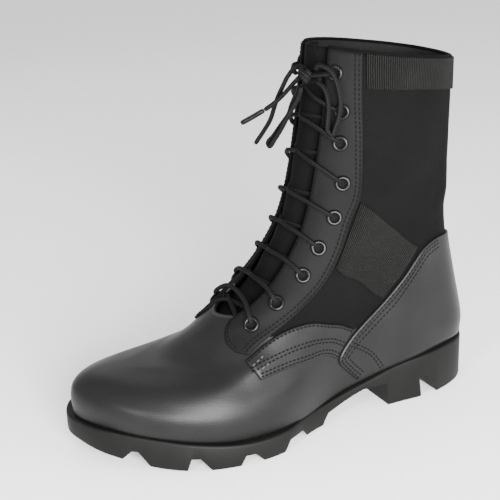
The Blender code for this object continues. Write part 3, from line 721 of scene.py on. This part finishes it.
def make_canvas():
    nodes = Nodes("shaft_canvas", (0.012, 0.012, 0.013), 0.8, 0.06)
    across, down = nodes.runs()
    weave = nodes.times(nodes.wave(across, 0.0011), nodes.wave(down, 0.0011))
    broad = nodes.noise(40.0)
    speck = nodes.noise(900.0, 2.0)
    # Colour is lighter on the raised crossings of the weave and darker in its gaps as painted
    # shade; the speck and broad noise give random tone.
    weave_shade_and_speck = nodes.times(nodes.plus(weave, speck), broad, True)
    nodes.colour(weave_shade_and_speck, grey(0.0002), (0.0018, 0.0018, 0.0017))
    nodes.roughness(speck, 0.66, 0.9)
    nodes.bump(nodes.plus(weave, nodes.times(speck, 0.6)), 0.00022, 0.8)
    return nodes.material


def make_webbing(name, pitch):
    nodes = Nodes(name, (0.012, 0.012, 0.011), 0.7, 0.07)
    across, down = nodes.runs()
    rib = nodes.wave(across, pitch)
    raised = nodes.plus(rib, nodes.times(nodes.times(rib, nodes.wave(down, 0.0012)), 0.45))
    speck = nodes.noise(700.0, 2.0)
    broad = nodes.noise(60.0)
    worn = nodes.times(nodes.ramp(speck, 0.10, 1.0), nodes.ramp(broad, 0.5, 1.2))
    # Colour follows the rib height squared: painted shade in the grooves and painted light on the
    # ribs, with random tone from the speck and broad noise.
    groove_shade_and_speck = nodes.times(nodes.times(raised, raised), worn, True)
    nodes.colour(groove_shade_and_speck, grey(0.0001), (0.016, 0.016, 0.0148))
    nodes.bump(raised, 0.00090, 1.0)
    return nodes.material


def make_rubber():
    nodes = Nodes("sole_rubber", grey(0.018), 0.5, 0.08)
    broad = nodes.noise(35.0)
    fine = nodes.noise(1100.0, 3.0)
    nodes.colour(broad, (0.0018, 0.0018, 0.0017), (0.0042, 0.0042, 0.0039))
    nodes.roughness(broad, 0.46, 0.64)
    nodes.bump(nodes.plus(fine, nodes.times(broad, 0.6)), 0.00012, 0.5)
    return nodes.material


def make_lace():
    nodes = Nodes("lace_braid", grey(0.012), 0.7, 0.07)
    run, around = nodes.runs()
    along = nodes.times(run, 2 * math.pi / 0.0032)
    turn = nodes.times(around, 2 * math.pi * 2.0)
    right = nodes.math("SINE", nodes.plus(along, turn))
    left = nodes.math("SINE", nodes.math("SUBTRACT", along, turn))
    braid = nodes.ramp(nodes.times(right, left), 0.5, 1.0)
    speck = nodes.noise(900.0, 2.0)
    # Colour follows the braid's ridges, darker in its grooves as painted shade; the speck noise
    # gives random tone.
    nodes.colour(nodes.times(braid, nodes.ramp(speck, 0.5, 1.3), True), grey(0.0005), grey(0.0050))
    nodes.bump(braid, 0.0005, 0.9)
    return nodes.material


def make_enamel():
    nodes = Nodes("eyelet_enamel", grey(0.010), 0.22, 0.12)
    broad = nodes.noise(300.0)
    nodes.roughness(broad, 0.16, 0.30)
    nodes.colour(broad, grey(0.0012), grey(0.0035))
    nodes.bump(broad, 0.00003, 0.4)
    return nodes.material


def make_cloth(name, dark, light, pitch):
    """Plain lining or board cloth; also the dark matte look painted as shade in the eyelet holes.
    """
    nodes = Nodes(name, light, 0.85, 0.05)
    speck = nodes.noise(1.0 / pitch, 2.0)
    broad = nodes.noise(30.0)
    nodes.colour(nodes.times(speck, nodes.ramp(broad, 0.6, 1.6), True), dark, light)
    nodes.bump(speck, 0.0003, 0.6)
    return nodes.material


def make_thread(name, dark, light):
    nodes = Nodes(name, light, 0.8, 0.06)
    speck = nodes.noise(1400.0, 2.0)
    nodes.colour(speck, dark, light)
    nodes.bump(speck, 0.0001, 0.6)
    return nodes.material


# Pieces

def in_scene(name, data):
    made = bpy.data.objects.new(name, data)
    bpy.context.scene.collection.objects.link(made)
    return made


def add_piece(name, mesh, looks):
    """Piece in the frame from a mesh in the part's measure."""
    mesh.transform(Matrix.Translation((-HEEL_REST, 0.0, 0.0)))
    for look in looks:
        mesh.materials.append(look)
    made = in_scene(name, mesh)
    mesh.shade_smooth()
    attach(made, "root")
    return made


def mesh_from(name, points, faces, slots=None, places=None):
    """Mesh from points and faces, with a material number per face and a UV place per point."""
    mesh = bpy.data.meshes.new(name)
    mesh.from_pydata([tuple(point) for point in points], [], faces)
    if slots:
        mesh.polygons.foreach_set("material_index", slots)
    if places:
        layer = mesh.uv_layers.new(name="UVMap")
        flat = []
        for loop in mesh.loops:
            flat.extend(places[loop.vertex_index])
        layer.data.foreach_set("uv", flat)
    built = bmesh.new()
    built.from_mesh(mesh)
    bmesh.ops.recalc_face_normals(built, faces=built.faces)
    built.to_mesh(mesh)
    built.free()
    mesh.update()
    return mesh


def quads(rows, count, base=0, closed=True):
    """Faces between rows of points that follow each other, count points to a row."""
    faces = []
    for start in range(base, base + (rows - 1) * count, count):
        for k in range(count if closed else count - 1):
            j = (k + 1) % count
            faces.append((start + k, start + j, start + count + j, start + count + k))
    return faces


def circle(centre, first, second, radius, count):
    """Points round a centre, in the plane of two directions."""
    points = []
    for k in range(count):
        angle = 2 * math.pi * k / count
        points.append(centre + (first * math.cos(angle) + second * math.sin(angle)) * radius)
    return points


def between(start, end, share):
    """Numbers at a share of the way from start to end."""
    return tuple(a + (b - a) * share for a, b in zip(start, end))


def rising(share, over=1.0):
    """Rise from 0 to 1, ever slower, while share goes from 0 to over."""
    return math.sin(min(share / over, 1.0) * math.pi / 2)


def lengths(points):
    """Distance of each point from the first along their line."""
    run = [0.0]
    for a, b in zip(points, points[1:]):
        run.append(run[-1] + (b - a).length)
    return run


def mean_runs(grid):
    """Mean distances along the rows and down the columns of a grid of points."""
    across = [lengths(row) for row in grid]
    down = [lengths(column) for column in zip(*grid)]
    mean_across = [sum(values) / len(values) for values in zip(*across)]
    mean_down = [sum(values) / len(values) for values in zip(*down)]
    return mean_across, mean_down


def shell(name, outer, inner, wrap=False, keep=None, slot_of=None):
    """Solid between two grids of points; keep tells which cells stay, slot_of their material."""
    rows = len(outer)
    columns = len(outer[0])
    count = rows * columns
    across, down = mean_runs(outer)
    points = [point for row in outer for point in row] + [point for row in inner for point in row]
    places = [(across[c], down[r]) for r in range(rows) for c in range(columns)] * 2
    faces = []
    slots = []
    edges = {}
    for r in range(rows - 1):
        for c in range(columns if wrap else columns - 1):
            if keep and not keep(r, c):
                continue
            d = (c + 1) % columns
            cell = (r * columns + c, r * columns + d, (r + 1) * columns + d, (r + 1) * columns + c)
            number = slot_of(r, c) if slot_of else 0
            faces.append(cell)
            slots.append(number)
            faces.append(tuple(i + count for i in reversed(cell)))
            slots.append(2 if slot_of else 0)
            for a, b in zip(cell, cell[1:] + cell[:1]):
                edges.setdefault(frozenset((a, b)), []).append((a, b, number))
    for uses in edges.values():
        if len(uses) == 1:
            a, b, number = uses[0]
            faces.append((b, a, a + count, b + count))
            slots.append(number)
    return mesh_from(name, points, faces, slots, places)


def refine(rows, factor):
    """Rows of numbers with factor steps between each two, on a cubic through them."""
    places = list(range(len(rows)))
    total = (len(rows) - 1) * factor
    return [tuple(curve_at(rows, places, (len(rows) - 1) * i / total)) for i in range(total + 1)]


def edge_shares(steps, ease=1.0):
    """Shares from 0 to 1 with one more close to each end, for a rounded edge."""
    inner = [1.0 - (1.0 - i / steps) ** ease for i in range(1, steps)]
    return ([0.0, EDGE_STEP * inner[0]] + inner
            + [1.0 - EDGE_STEP * (1.0 - inner[-1]), 1.0])


def trim(name, rows, thick, look, node):
    """Piece with rounded edges that lies on the upper and stands for a node of the part."""
    outer = []
    for r, row in enumerate(rows):
        line = []
        for c, (around, level) in enumerate(row):
            rim = r in (0, len(rows) - 1) or c in (0, len(row) - 1)
            line.append(skin(around, level, TRIM_LIFT + thick * (EDGE_THICK if rim else 1.0)))
        outer.append(line)
    inner = [[skin(around, level, 0.0) for around, level in row] for row in rows]
    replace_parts(add_piece(name, shell(name, outer, inner), [look]), node)


def side_rows(side, table, steps):
    """Rows from one edge to the other of a piece given by two edge points a row."""
    knots = []
    for row in table:
        numbers = ()
        for i in range(4):
            numbers += spot(side, row[0] + (row[2] - row[0]) * i / 3,
                            row[1] + (row[3] - row[1]) * i / 3)
        knots.append(numbers)
    rows = []
    for row in add_edge_rows(refine(knots, 5)):
        thirds = [row[0:2], row[2:4], row[4:6], row[6:8]]
        rows.append([tuple(curve_at(thirds, (0, 1, 2, 3), 3 * share))
                     for share in edge_shares(steps)])
    return rows


def add_edge_rows(rows):
    """Rows with one more close to the first and to the last."""
    return ([rows[0], between(rows[0], rows[1], 0.3)] + rows[1:-1]
            + [between(rows[-1], rows[-2], 0.3), rows[-1]])


def round_rows(table, steps, factor=4, swell=0.0):
    """Rows from the lateral edge round the back to the medial edge.

    Swell is the number of levels by which the first row rises midway between edge and back.
    """
    ends = [spot(1, along, height) + (back_level(back),) + spot(-1, along, height)
            for along, height, back in table]
    rows = []
    shares = edge_shares(steps, BACK_EASE)
    heights = add_edge_rows(refine(ends, factor))
    for number, row in enumerate(heights):
        back = (0.0, row[2])
        rise = swell * (1 - number / (len(heights) - 1))
        halves = []
        for edge in (row[:2], row[3:]):
            half = [between(edge, back, share) for share in shares]
            halves.append([(around, level + rise * math.sin(math.pi * i / (len(half) - 1)))
                           for i, (around, level) in enumerate(half)])
        rows.append(halves[0] + halves[1][-2::-1])
    return rows


def eyestay_rows(side):
    ends = [(side * around, level) + spot(side, along, height)
            for around, level, along, height in EYESTAY]
    shares = edge_shares(10)
    return [[between(row[:2], row[2:], share) for share in shares]
            for row in add_edge_rows(refine(ends, 6))]


def make_upper(leather, canvas, lining):
    """Vamp, quarters and shaft in one skin, in leather below and canvas above."""
    half = [i / SKIN_COLUMNS for i in range(SKIN_COLUMNS + 1)]
    columns = [place for place in half if abs(place - THROAT_EDGE) > 0.004]
    columns = sorted(columns + [THROAT_EDGE])
    ring = columns + [2.0 - place for place in columns[-2:0:-1]]
    levels = [TOP_SECTION * i / SKIN_ROWS for i in range(SKIN_ROWS + 1)]
    outer = [[skin(place, level, 0.0) for place in ring] for level in levels]
    inner = [[skin(place, level, -WALL) for place in ring] for level in levels]
    first = ring.index(THROAT_EDGE)
    last = ring.index(2.0 - THROAT_EDGE)

    def keep(r, c):
        return not (levels[r] > THROAT_LEVEL - 0.02 and first <= c < last)

    def slot_of(r, c):
        point = outer[r][c]
        return 1 if point.x < CANVAS_ALONG and point.z > CANVAS_HEIGHT else 0

    mesh = shell("boot_upper", outer, inner, True, keep, slot_of)
    made = add_piece("boot_upper", mesh, [leather, canvas, lining])
    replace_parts(made, "upper")


def make_tongue(canvas):
    """Tongue: sunk under the facings, full between them."""
    rows = 80
    columns = 32
    outer = []
    inner = []
    for i in range(rows + 1):
        level = TONGUE_FROM + (TOP_SECTION - TONGUE_FROM) * i / rows
        opening = min(max((level - FILL_FROM) / FILL_OVER, 0.0), 1.0)
        high = []
        low = []
        for k in range(columns + 1):
            place = TONGUE_EDGE + TONGUE_SPAN * k / columns
            inside = 1.0 - abs(place - 1.0) / (1.0 - THROAT_EDGE)
            middle = min(max(inside / TONGUE_ROUND, 0.0), 1.0)
            rise = rising(middle) * opening
            wave = RIPPLE_HEIGHT * math.sin(level * RIPPLE_TURNS) * middle
            lift = -TONGUE_SUNK + (TONGUE_SUNK - TONGUE_SHOWS) * rise + wave
            high.append(skin(place, level, lift))
            low.append(skin(place, level, lift - TONGUE_THICK))
        outer.append(high)
        inner.append(low)
    made = add_piece("boot_tongue", shell("boot_tongue", outer, inner), [canvas])
    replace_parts(made, "tongue")


def plate(name, loops):
    """Solid between closed loops that share their count, bridged at both ends."""
    count = len(loops[0])
    half = count // 2
    points = [point for loop in loops for point in loop]
    faces = quads(len(loops), count)
    for start in (0, (len(loops) - 1) * count):
        faces.append((start, start + 1, start + count - 1))
        for i in range(1, half - 1):
            faces.append((start + i, start + i + 1, start + count - i - 1, start + count - i))
        faces.append((start + half - 1, start + half, start + half + 1))
    return mesh_from(name, points, faces)


def prism(outline, start, end, slant=0.0, edge=0.0):
    """Hidden cutter with an outline in the XZ plane, from y start to y end."""
    points = [(x + slant * (edge - abs(y)), y, z) for y in (start, end) for x, z in outline]
    count = len(outline)
    faces = [tuple(range(count)), tuple(range(2 * count - 1, count - 1, -1))] + quads(2, count)
    return in_scene("cutter", mesh_from("cutter", points, faces))


def notch_outline(row):
    rear, front, rear_top, front_top = [share * SOLE_LENGTH for share in row[:4]]
    top = profile((rear + front) / 2)[1] + row[4] * HEEL_HEIGHT
    below = -HEEL_HEIGHT
    return [(rear, below), (rear, profile(rear)[1]), (rear_top, top), (front_top, top),
            (front, profile(front)[1]), (front, below)]


def sole_edge(x, side):
    outline = [point for point in sole_outline(34) if point[1] * side > 0.0]
    return abs(min(outline, key=lambda point: abs(point[0] - x))[1])


def sole_cutters():
    wide = BALL_WIDTH
    arch = [(along * SOLE_LENGTH, height * HEEL_HEIGHT) for along, height in ARCH]
    arch += [(arch[-1][0], -HEEL_HEIGHT), (arch[0][0], -HEEL_HEIGHT)]
    cutters = [prism(arch, -wide, wide)]
    for side in (1, -1):
        for row in NOTCHES:
            edge = sole_edge((row[0] + row[1]) / 2 * SOLE_LENGTH, side)
            cutters.append(prism(notch_outline(row), side * wide, side * NOTCH_REACH,
                                 NOTCH_SLANT, edge))
    cutters.append(prism(notch_outline(HEEL_NOTCH), -wide, wide))
    return cutters


def make_sole(rubber):
    """Outsole with a rounded rim, its side wall and the lugs."""
    outline = sole_outline(110)
    loops = [[(x, y, profile(x)[0] - drop) for x, y in inset(outline, amount)]
             for amount, drop in RIM_ROUND]
    loops += [[(x, y, profile(x)[1] + rise) for x, y in inset(outline, amount)]
              for amount, rise in TREAD_ROUND]
    holder = in_scene("holder", plate("boot_outsole", loops))
    cutters = sole_cutters()
    for cutter in cutters:
        step = holder.modifiers.new("cut", "BOOLEAN")
        step.operation = "DIFFERENCE"
        step.object = cutter
    bevel = holder.modifiers.new("soft", "BEVEL")
    bevel.width = LUG_BEVEL
    bevel.segments = 2
    bevel.limit_method = "ANGLE"
    bevel.angle_limit = SHARP_ANGLE
    bpy.context.view_layer.update()
    evaluated = holder.evaluated_get(bpy.context.evaluated_depsgraph_get())
    mesh = bpy.data.meshes.new_from_object(evaluated)
    for item in cutters + [holder]:
        bpy.data.objects.remove(item, do_unlink=True)
    made = add_piece("boot_outsole", mesh, [rubber])
    mesh.set_sharp_from_angle(angle=SHARP_ANGLE)
    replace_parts(made, "outsole")


def tube(name, points, radius, look, sides=12, taper=0.0):
    """Tube along points; its UV runs in metres along it and in turns round it."""
    run = lengths(points)
    last = len(points) - 1
    side = Vector((0.0, 0.0, 1.0))
    rings = []
    places = []
    for i, point in enumerate(points):
        forward = (points[min(i + 1, last)] - points[max(i - 1, 0)]).normalized()
        side = (side - forward * side.dot(forward)).normalized()
        size = radius * (1.0 - taper if i in (0, last) else 1.0)
        rings += circle(point, side, forward.cross(side), size, sides)
        places += [(run[i], k / sides) for k in range(sides)]
    faces = quads(len(points), sides)
    faces.append(tuple(range(sides)))
    faces.append(tuple(range(len(rings) - 1, len(rings) - 1 - sides, -1)))
    return add_piece(name, mesh_from(name, rings, faces, None, places), [look])


def cord_line(table):
    """Points on a cubic through a table of given ones."""
    knots = [tuple(value * COLLAR_HEIGHT for value in row) for row in table]
    places = lengths([Vector(knot) for knot in knots])
    total = (len(knots) - 1) * 6
    return [Vector(curve_at(knots, places, places[-1] * i / total)) for i in range(total + 1)]


def make_bow(braid, enamel):
    """Loops and ends of the bow, its aglet and its knot."""
    aglet = tube("lace_tip", cord_line(AGLET), LACE_RADIUS + 0.0002, enamel, 12, 0.2)
    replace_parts(aglet, "lace_aglet")
    for name, node, table, far_end, extra in (
            ("bow_loop_long", "lace_loop_long", LOOP_LONG, "object", []),
            ("bow_loop_short", "lace_loop_short", LOOP_SHORT, "object", []),
            ("bow_end_left", "lace_end_left", END_LEFT, "bare", []),
            ("bow_end_right", "lace_end_right", END_RIGHT, "fitting", [aglet])):
        line = cord_line(table)
        made = tube(name, line, LACE_RADIUS, braid, 12, 0.25)
        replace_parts(made, node)
    make_knot(braid)


def make_knot(braid):
    """Two turns of lace wound round the bow's middle."""
    middle = Vector(KNOT[1]) * COLLAR_HEIGHT
    axis = (Vector(KNOT[2]) - Vector(KNOT[0])).normalized()
    front = normal(*KNOT_PLACE)
    across = axis.cross(front).normalized()
    points = []
    steps = 60
    for i in range(steps + 1):
        angle = 2 * math.pi * KNOT_TURNS * i / steps
        height = (i / steps - 0.5) * KNOT_HEIGHT + KNOT_TILT * math.sin(angle)
        points.append(middle + axis * height + across * KNOT_ACROSS * math.cos(angle)
                      + front * KNOT_FORWARD * math.sin(angle))
    made = tube("bow_knot", points, LACE_RADIUS, braid, 12, 0.2)
    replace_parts(made, "lace_knot")


def strand(start, end, high, low, over, bow):
    """Lace from an eyelet over its facing and the tongue, and under the opposite facing."""
    points = []
    steps = 40
    low_z = surface(*start).z
    high_z = surface(*end).z
    for i in range(steps + 1):
        share = i / steps
        around = start[0] + (end[0] - start[0]) * share
        height = low_z + (high_z - low_z) * share + bow * math.sin(math.pi * share)
        level = level_at(around, height)
        fall = min(max((share - SINK_FROM) / SINK_OVER, 0.0), 1.0)
        fall = fall * fall * (3 - 2 * fall)
        lift = -EYELET_DEPTH + (high + EYELET_DEPTH) * rising(share, STRAND_DIP)
        lift += (low - high) * fall
        lift += over * math.exp(-((share - CROSS_AT) / CROSS_WIDTH) ** 2)
        points.append(skin(around, level, lift))
    return points


def make_laces(braid, places):
    """Bar over the lowest eyelets and two strands between each two rows."""
    start, end = places[1][0], places[-1][0]
    count = 44
    height = surface(*start).z
    points = []
    for i in range(count + 1):
        share = i / count
        around = start[0] + (end[0] + 2.0 - start[0]) * share
        dip = rising(min(share, 1 - share), BAR_DIP)
        level = level_at(around, height + BAR_RISE * math.sin(math.pi * share))
        points.append(skin(around, level, -EYELET_DEPTH + (LACE_HIGH + EYELET_DEPTH) * dip))
    bar = tube("lace_bar_braid", points, LACE_RADIUS, braid)
    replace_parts(bar, "lace_bar")
    for number in range(len(EYELETS) - 1):
        pieces = []
        for side, label in SIDES:
            begin = places[side][number]
            finish = places[-side][number + 1]
            finish = (finish[0] + 2.0 * side, finish[1])
            end = between(begin, finish, STRAND_END)
            bow = LACE_RISE if number < len(EYELETS) - 2 else 0.0
            over = CROSS_OVER if (side > 0) == (number % 2 == 0) else CROSS_UNDER
            if number == 0:
                begin = between(begin, finish, FIRST_START)
                line = strand(begin, end, 0.0, -WALL, over, bow)
            else:
                line = strand(begin, end, LACE_HIGH, -WALL - SINK_CLEAR, over, bow)
            name = "lace_strand_%s_%d" % (label, number + 1)
            pieces.append(tube(name, line, LACE_RADIUS, braid))
        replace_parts(pieces[0], "lace_crossing_%d" % (number + 1))
    for side, label in SIDES:
        place = places[side][-1]
        points = []
        for i in range(21):
            share = i / 20
            lift = -EYELET_DEPTH + (LACE_HIGH + TOP_CLEAR) * rising(share, TOP_DIP)
            points.append(skin(*between(place, (TOP_ENDS[side], TOP_LEVEL), share), lift))
        tube("lace_top_" + label, points, LACE_RADIUS, braid)


def make_eyelets(places, enamel, dark):
    """Rolled ring at each eyelet, with a dark matte disc across its opening as painted shade for
    the hole.
    """
    turns = 32
    for side, label in SIDES:
        for number, (around, level) in enumerate(places[side]):
            centre = skin(around, level, FACE)
            out = normal(around, level)
            first = (skin(around + 0.01, level, 0.0) - skin(around - 0.01, level, 0.0)).normalized()
            first = (first - out * first.dot(out)).normalized()
            second = out.cross(first)
            points = []
            for radius, height in RING_PROFILE:
                points += circle(centre + out * height, first, second, radius, turns)
            faces = quads(len(RING_PROFILE), turns)
            # The disc across the ring's opening takes the second look: painted shade standing for
            # the depth of the hole.
            slots = [0] * len(faces) + [1]
            faces.append(tuple(range(turns)))
            name = "ring_%s_%d" % (label, number + 1)
            made = add_piece(name, mesh_from(name, points, faces, slots), [enamel, dark])
            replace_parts(made, "eyelet_%s_%d" % (label, number + 1))


def stitch_row(name, line, look):
    """Row of stitches along a line of places on the trims."""
    points = [skin(around, level, FACE) for around, level in line]
    run = lengths(points)
    count = max(1, int(run[-1] / STITCH_PITCH))
    vertices = []
    faces = []
    index = 0
    for n in range(count):
        middle = (n + 0.5) * run[-1] / count
        while index < len(run) - 2 and run[index + 1] < middle:
            index += 1
        share = (middle - run[index]) / max(run[index + 1] - run[index], 1e-9)
        centre = points[index].lerp(points[index + 1], share)
        out = normal(*between(line[index], line[index + 1], share))
        forward = (points[index + 1] - points[index]).normalized()
        aside = out.cross(forward).normalized()
        faces += quads(5, 5, len(vertices), False)
        for place, size in STITCH_ROWS:
            for a, b in STITCH_ARC:
                vertices.append(centre + forward * (place * STITCH_LENGTH)
                                + aside * (a * STITCH_WIDTH * size)
                                + out * (b * (STITCH_HIGH * size) - STITCH_SINK))
    mesh = bpy.data.meshes.new(name)
    mesh.from_pydata([tuple(vertex) for vertex in vertices], [], faces)
    mesh.update()
    add_piece(name, mesh, [look])


def offset_line(line, distance):
    """Line of places moved sideways by a distance in metres over the upper."""
    moved = []
    for i, (around, level) in enumerate(line):
        before = line[max(i - 1, 0)]
        after = line[min(i + 1, len(line) - 1)]
        forward = (surface(*after) - surface(*before)).normalized()
        aside = normal(around, level).cross(forward)
        step_a = (surface(around + 0.004, level) - surface(around - 0.004, level)) / 0.008
        low = max(level - 0.04, 0.0)
        high = min(level + 0.04, TOP_SECTION)
        step_l = (surface(around, high) - surface(around, low)) / (high - low)
        goal = aside * distance
        aa = step_a.dot(step_a)
        al = step_a.dot(step_l)
        ll = step_l.dot(step_l)
        ga = goal.dot(step_a)
        gl = goal.dot(step_l)
        scale = aa * ll - al * al
        moved.append((around + (ga * ll - gl * al) / scale,
                      min(max(level + (gl * aa - ga * al) / scale, 0.0), TOP_SECTION)))
    return moved


def seams(name, line, side, distances, look):
    """Rows of stitches beside a line of places, one for each distance."""
    for number, distance in enumerate(distances):
        stitch_row("%s_%d" % (name, number + 1), offset_line(line, side * distance), look)


def seam_line(side, points):
    """Line of places through points given as (along, height)."""
    return refine([spot(side, *point) for point in points], 8)


def make_rim(cloth):
    """Rolled edge along the collar."""
    places = [THROAT_EDGE - 2 * THROAT_EDGE * i / 120 for i in range(121)]
    points = [skin(place, TOP_SECTION, -WALL / 2) + Vector((0.0, 0.0, RIM_RAISE))
              for place in places]
    tube("collar_rim", points, WALL * RIM_SHARE, cloth, 10)


def make_insole(cloth):
    columns = [i / 60 for i in range(120)]
    ring = [skin(place, 0.0, -WALL - INSOLE_CLEARANCE) for place in columns]
    low = [(p.x, p.y, profile(p.x)[0] + GAP) for p in ring]
    high = [(p.x, p.y, profile(p.x)[0] + GAP + INSOLE_THICK) for p in ring]
    made = add_piece("boot_insole", plate("boot_insole", [high, low]), [cloth])
    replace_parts(made, "insole")


# Camera fitted to the photo
CAMERA_PLACE = (0.470232, 0.629645, 0.390353)
CAMERA_YAW = 0.466178
CAMERA_PITCH = 0.357592
CAMERA_ROLL = -0.033268
CAMERA_LENS = 79.2
LIGHT_GOAL = Vector((0.12, 0.0, 0.08))


def make_camera():
    data = bpy.data.cameras.new("camera")
    data.lens = CAMERA_LENS
    data.sensor_width = 36.0
    data.clip_start = 0.01
    made = in_scene("camera", data)
    back = Vector((math.sin(CAMERA_YAW) * math.cos(CAMERA_PITCH),
                   math.cos(CAMERA_YAW) * math.cos(CAMERA_PITCH), math.sin(CAMERA_PITCH)))
    right = (-back).cross(Vector((0.0, 0.0, 1.0))).normalized()
    up = right.cross(-back)
    rolled = math.cos(CAMERA_ROLL) * right + math.sin(CAMERA_ROLL) * up
    top = -math.sin(CAMERA_ROLL) * right + math.cos(CAMERA_ROLL) * up
    turn = Matrix((rolled, top, back)).transposed()
    made.matrix_world = Matrix.Translation(CAMERA_PLACE) @ turn.to_4x4()
    bpy.context.scene.camera = made


def add_light(name, place, size, power):
    data = bpy.data.lights.new(name, "AREA")
    data.shape = "DISK"
    data.size = size
    data.energy = power
    made = in_scene(name, data)
    made.location = place
    made.rotation_euler = (LIGHT_GOAL - Vector(place)).to_track_quat("-Z", "Y").to_euler()


def make_studio():
    """Pale floor and soft lights."""
    nodes = Nodes("studio_floor", grey(0.94), 0.7)
    nodes.colour(nodes.noise(12.0), grey(0.93), grey(0.96))
    bpy.ops.mesh.primitive_plane_add(size=8.0, location=(0.0, 0.0, -0.0003))
    floor = bpy.context.object
    floor.name = "studio_floor"
    floor.data.materials.append(nodes.material)
    world = bpy.data.worlds.new("studio")
    world.use_nodes = True
    sky = world.node_tree.nodes["Background"].inputs
    sky["Color"].default_value = (1.0, 1.0, 1.0, 1.0)
    sky["Strength"].default_value = 1.15
    bpy.context.scene.world = world
    add_light("key", (1.10, 0.60, 0.50), 0.14, 12.0)
    add_light("side", (0.38, 1.20, 0.32), 0.8, 112.0)
    add_light("fill", (-0.6, 1.0, 0.6), 0.7, 12.0)
    add_light("rim", (0.1, -1.0, 0.9), 0.6, 2.5)


def make_side(side, label, looks):
    """Trims of one side with their seams."""
    leather, stay_leather, strap_web, thread, pale = looks
    stay = eyestay_rows(side)
    trim("stay_" + label, stay, TRIM_THICK, stay_leather, "eyestay_" + label)
    rear = [row[-1] for row in stay]
    front = [row[0] for row in stay]
    seams("stay_seam_" + label, rear, side, STAY_SEAMS, thread)
    stitch_row("stay_front_seam_" + label, offset_line(front, side * STAY_FRONT_SEAM), thread)
    trim("strap_" + label, side_rows(side, STRAP, 24), BAND_THICK, strap_web,
         "ankle_strap_" + label)
    panel = side_rows(side, SIDE_PANEL, 12)
    trim("panel_" + label, panel, TRIM_THICK, leather, "side_panel_" + label)
    top = [row[0] for row in panel]
    low = [row[-1] for row in panel]
    middle = [between(row[0], row[-1], PANEL_MIDDLE) for row in panel]
    for number, bar in enumerate(BARTACKS):
        stitch_row("bartack_%s_%d" % (label, number + 1), seam_line(side, bar), pale)
    stitch_row("panel_seam_top_" + label, offset_line(top, side * PANEL_TOP_SEAM), thread)
    seams("panel_seam_middle_" + label, middle, side, DOUBLE_SEAM, thread)
    seams("panel_seam_low_" + label, low, side, PANEL_LOW_SEAMS, thread)


def make_back(leather, canvas, band_web, thread):
    """Counter, collar band and back strip with their seams."""
    counter = round_rows(COUNTER, 24)
    trim("counter", counter, TRIM_THICK, leather, "heel_counter")
    edges = {1: [row[0] for row in counter], -1: [row[-1] for row in counter]}
    for side, label in SIDES:
        seams("counter_seam_" + label, edges[side], side, COUNTER_SEAMS, thread)
        seams("quarter_seam_" + label, seam_line(side, QUARTER_SEAM), side, DOUBLE_SEAM, thread)
    band = round_rows(COLLAR_BAND, 48, 6, BAND_SWELL)
    trim("band", band, BAND_THICK, band_web, "collar_band")
    low = back_level(BACKSTAY_FROM)
    high = back_level(BACKSTAY_TO)
    rows = [[(BACKSTAY_HALF * (1 - k / 4), low + (high - low) * i / 60) for k in range(9)]
            for i in range(61)]
    trim("back_strip", rows, BAND_THICK, canvas, "backstay")


def make_boot():
    leather = make_leather("boot_leather", 0.38, 0.13)
    stay_leather = make_leather("stay_leather", 0.50, 0.02)
    canvas = make_canvas()
    strap_web = make_webbing("strap_webbing", 0.0014)
    band_web = make_webbing("collar_webbing", 0.0015)
    rubber = make_rubber()
    braid = make_lace()
    enamel = make_enamel()
    lining = make_cloth("inner_lining", grey(0.002), grey(0.014), 0.0007)
    board = make_cloth("insole_cloth", (0.010, 0.010, 0.009), (0.060, 0.055, 0.050), 0.0009)
    # Painted shade: near-black matte look for the discs that stand for the eyelet holes.
    eyelet_hole_shade = make_cloth("eyelet_shade", grey(0.001), grey(0.004), 0.0008)
    thread = make_thread("seam_thread", grey(0.0004), grey(0.0025))
    pale = make_thread("bartack_thread", grey(0.010), grey(0.060))

    make_bow(braid, enamel)
    places = {side: [spot(side, *eyelet) for eyelet in EYELETS] for side, _ in SIDES}
    make_laces(braid, places)
    make_eyelets(places, enamel, eyelet_hole_shade)
    make_sole(rubber)
    make_insole(board)
    make_upper(leather, canvas, lining)
    make_tongue(canvas)
    make_rim(canvas)
    for side, label in SIDES:
        make_side(side, label, (leather, stay_leather, strap_web, thread, pale))
    make_back(leather, canvas, band_web, thread)


make_camera()
make_boot()
make_studio()
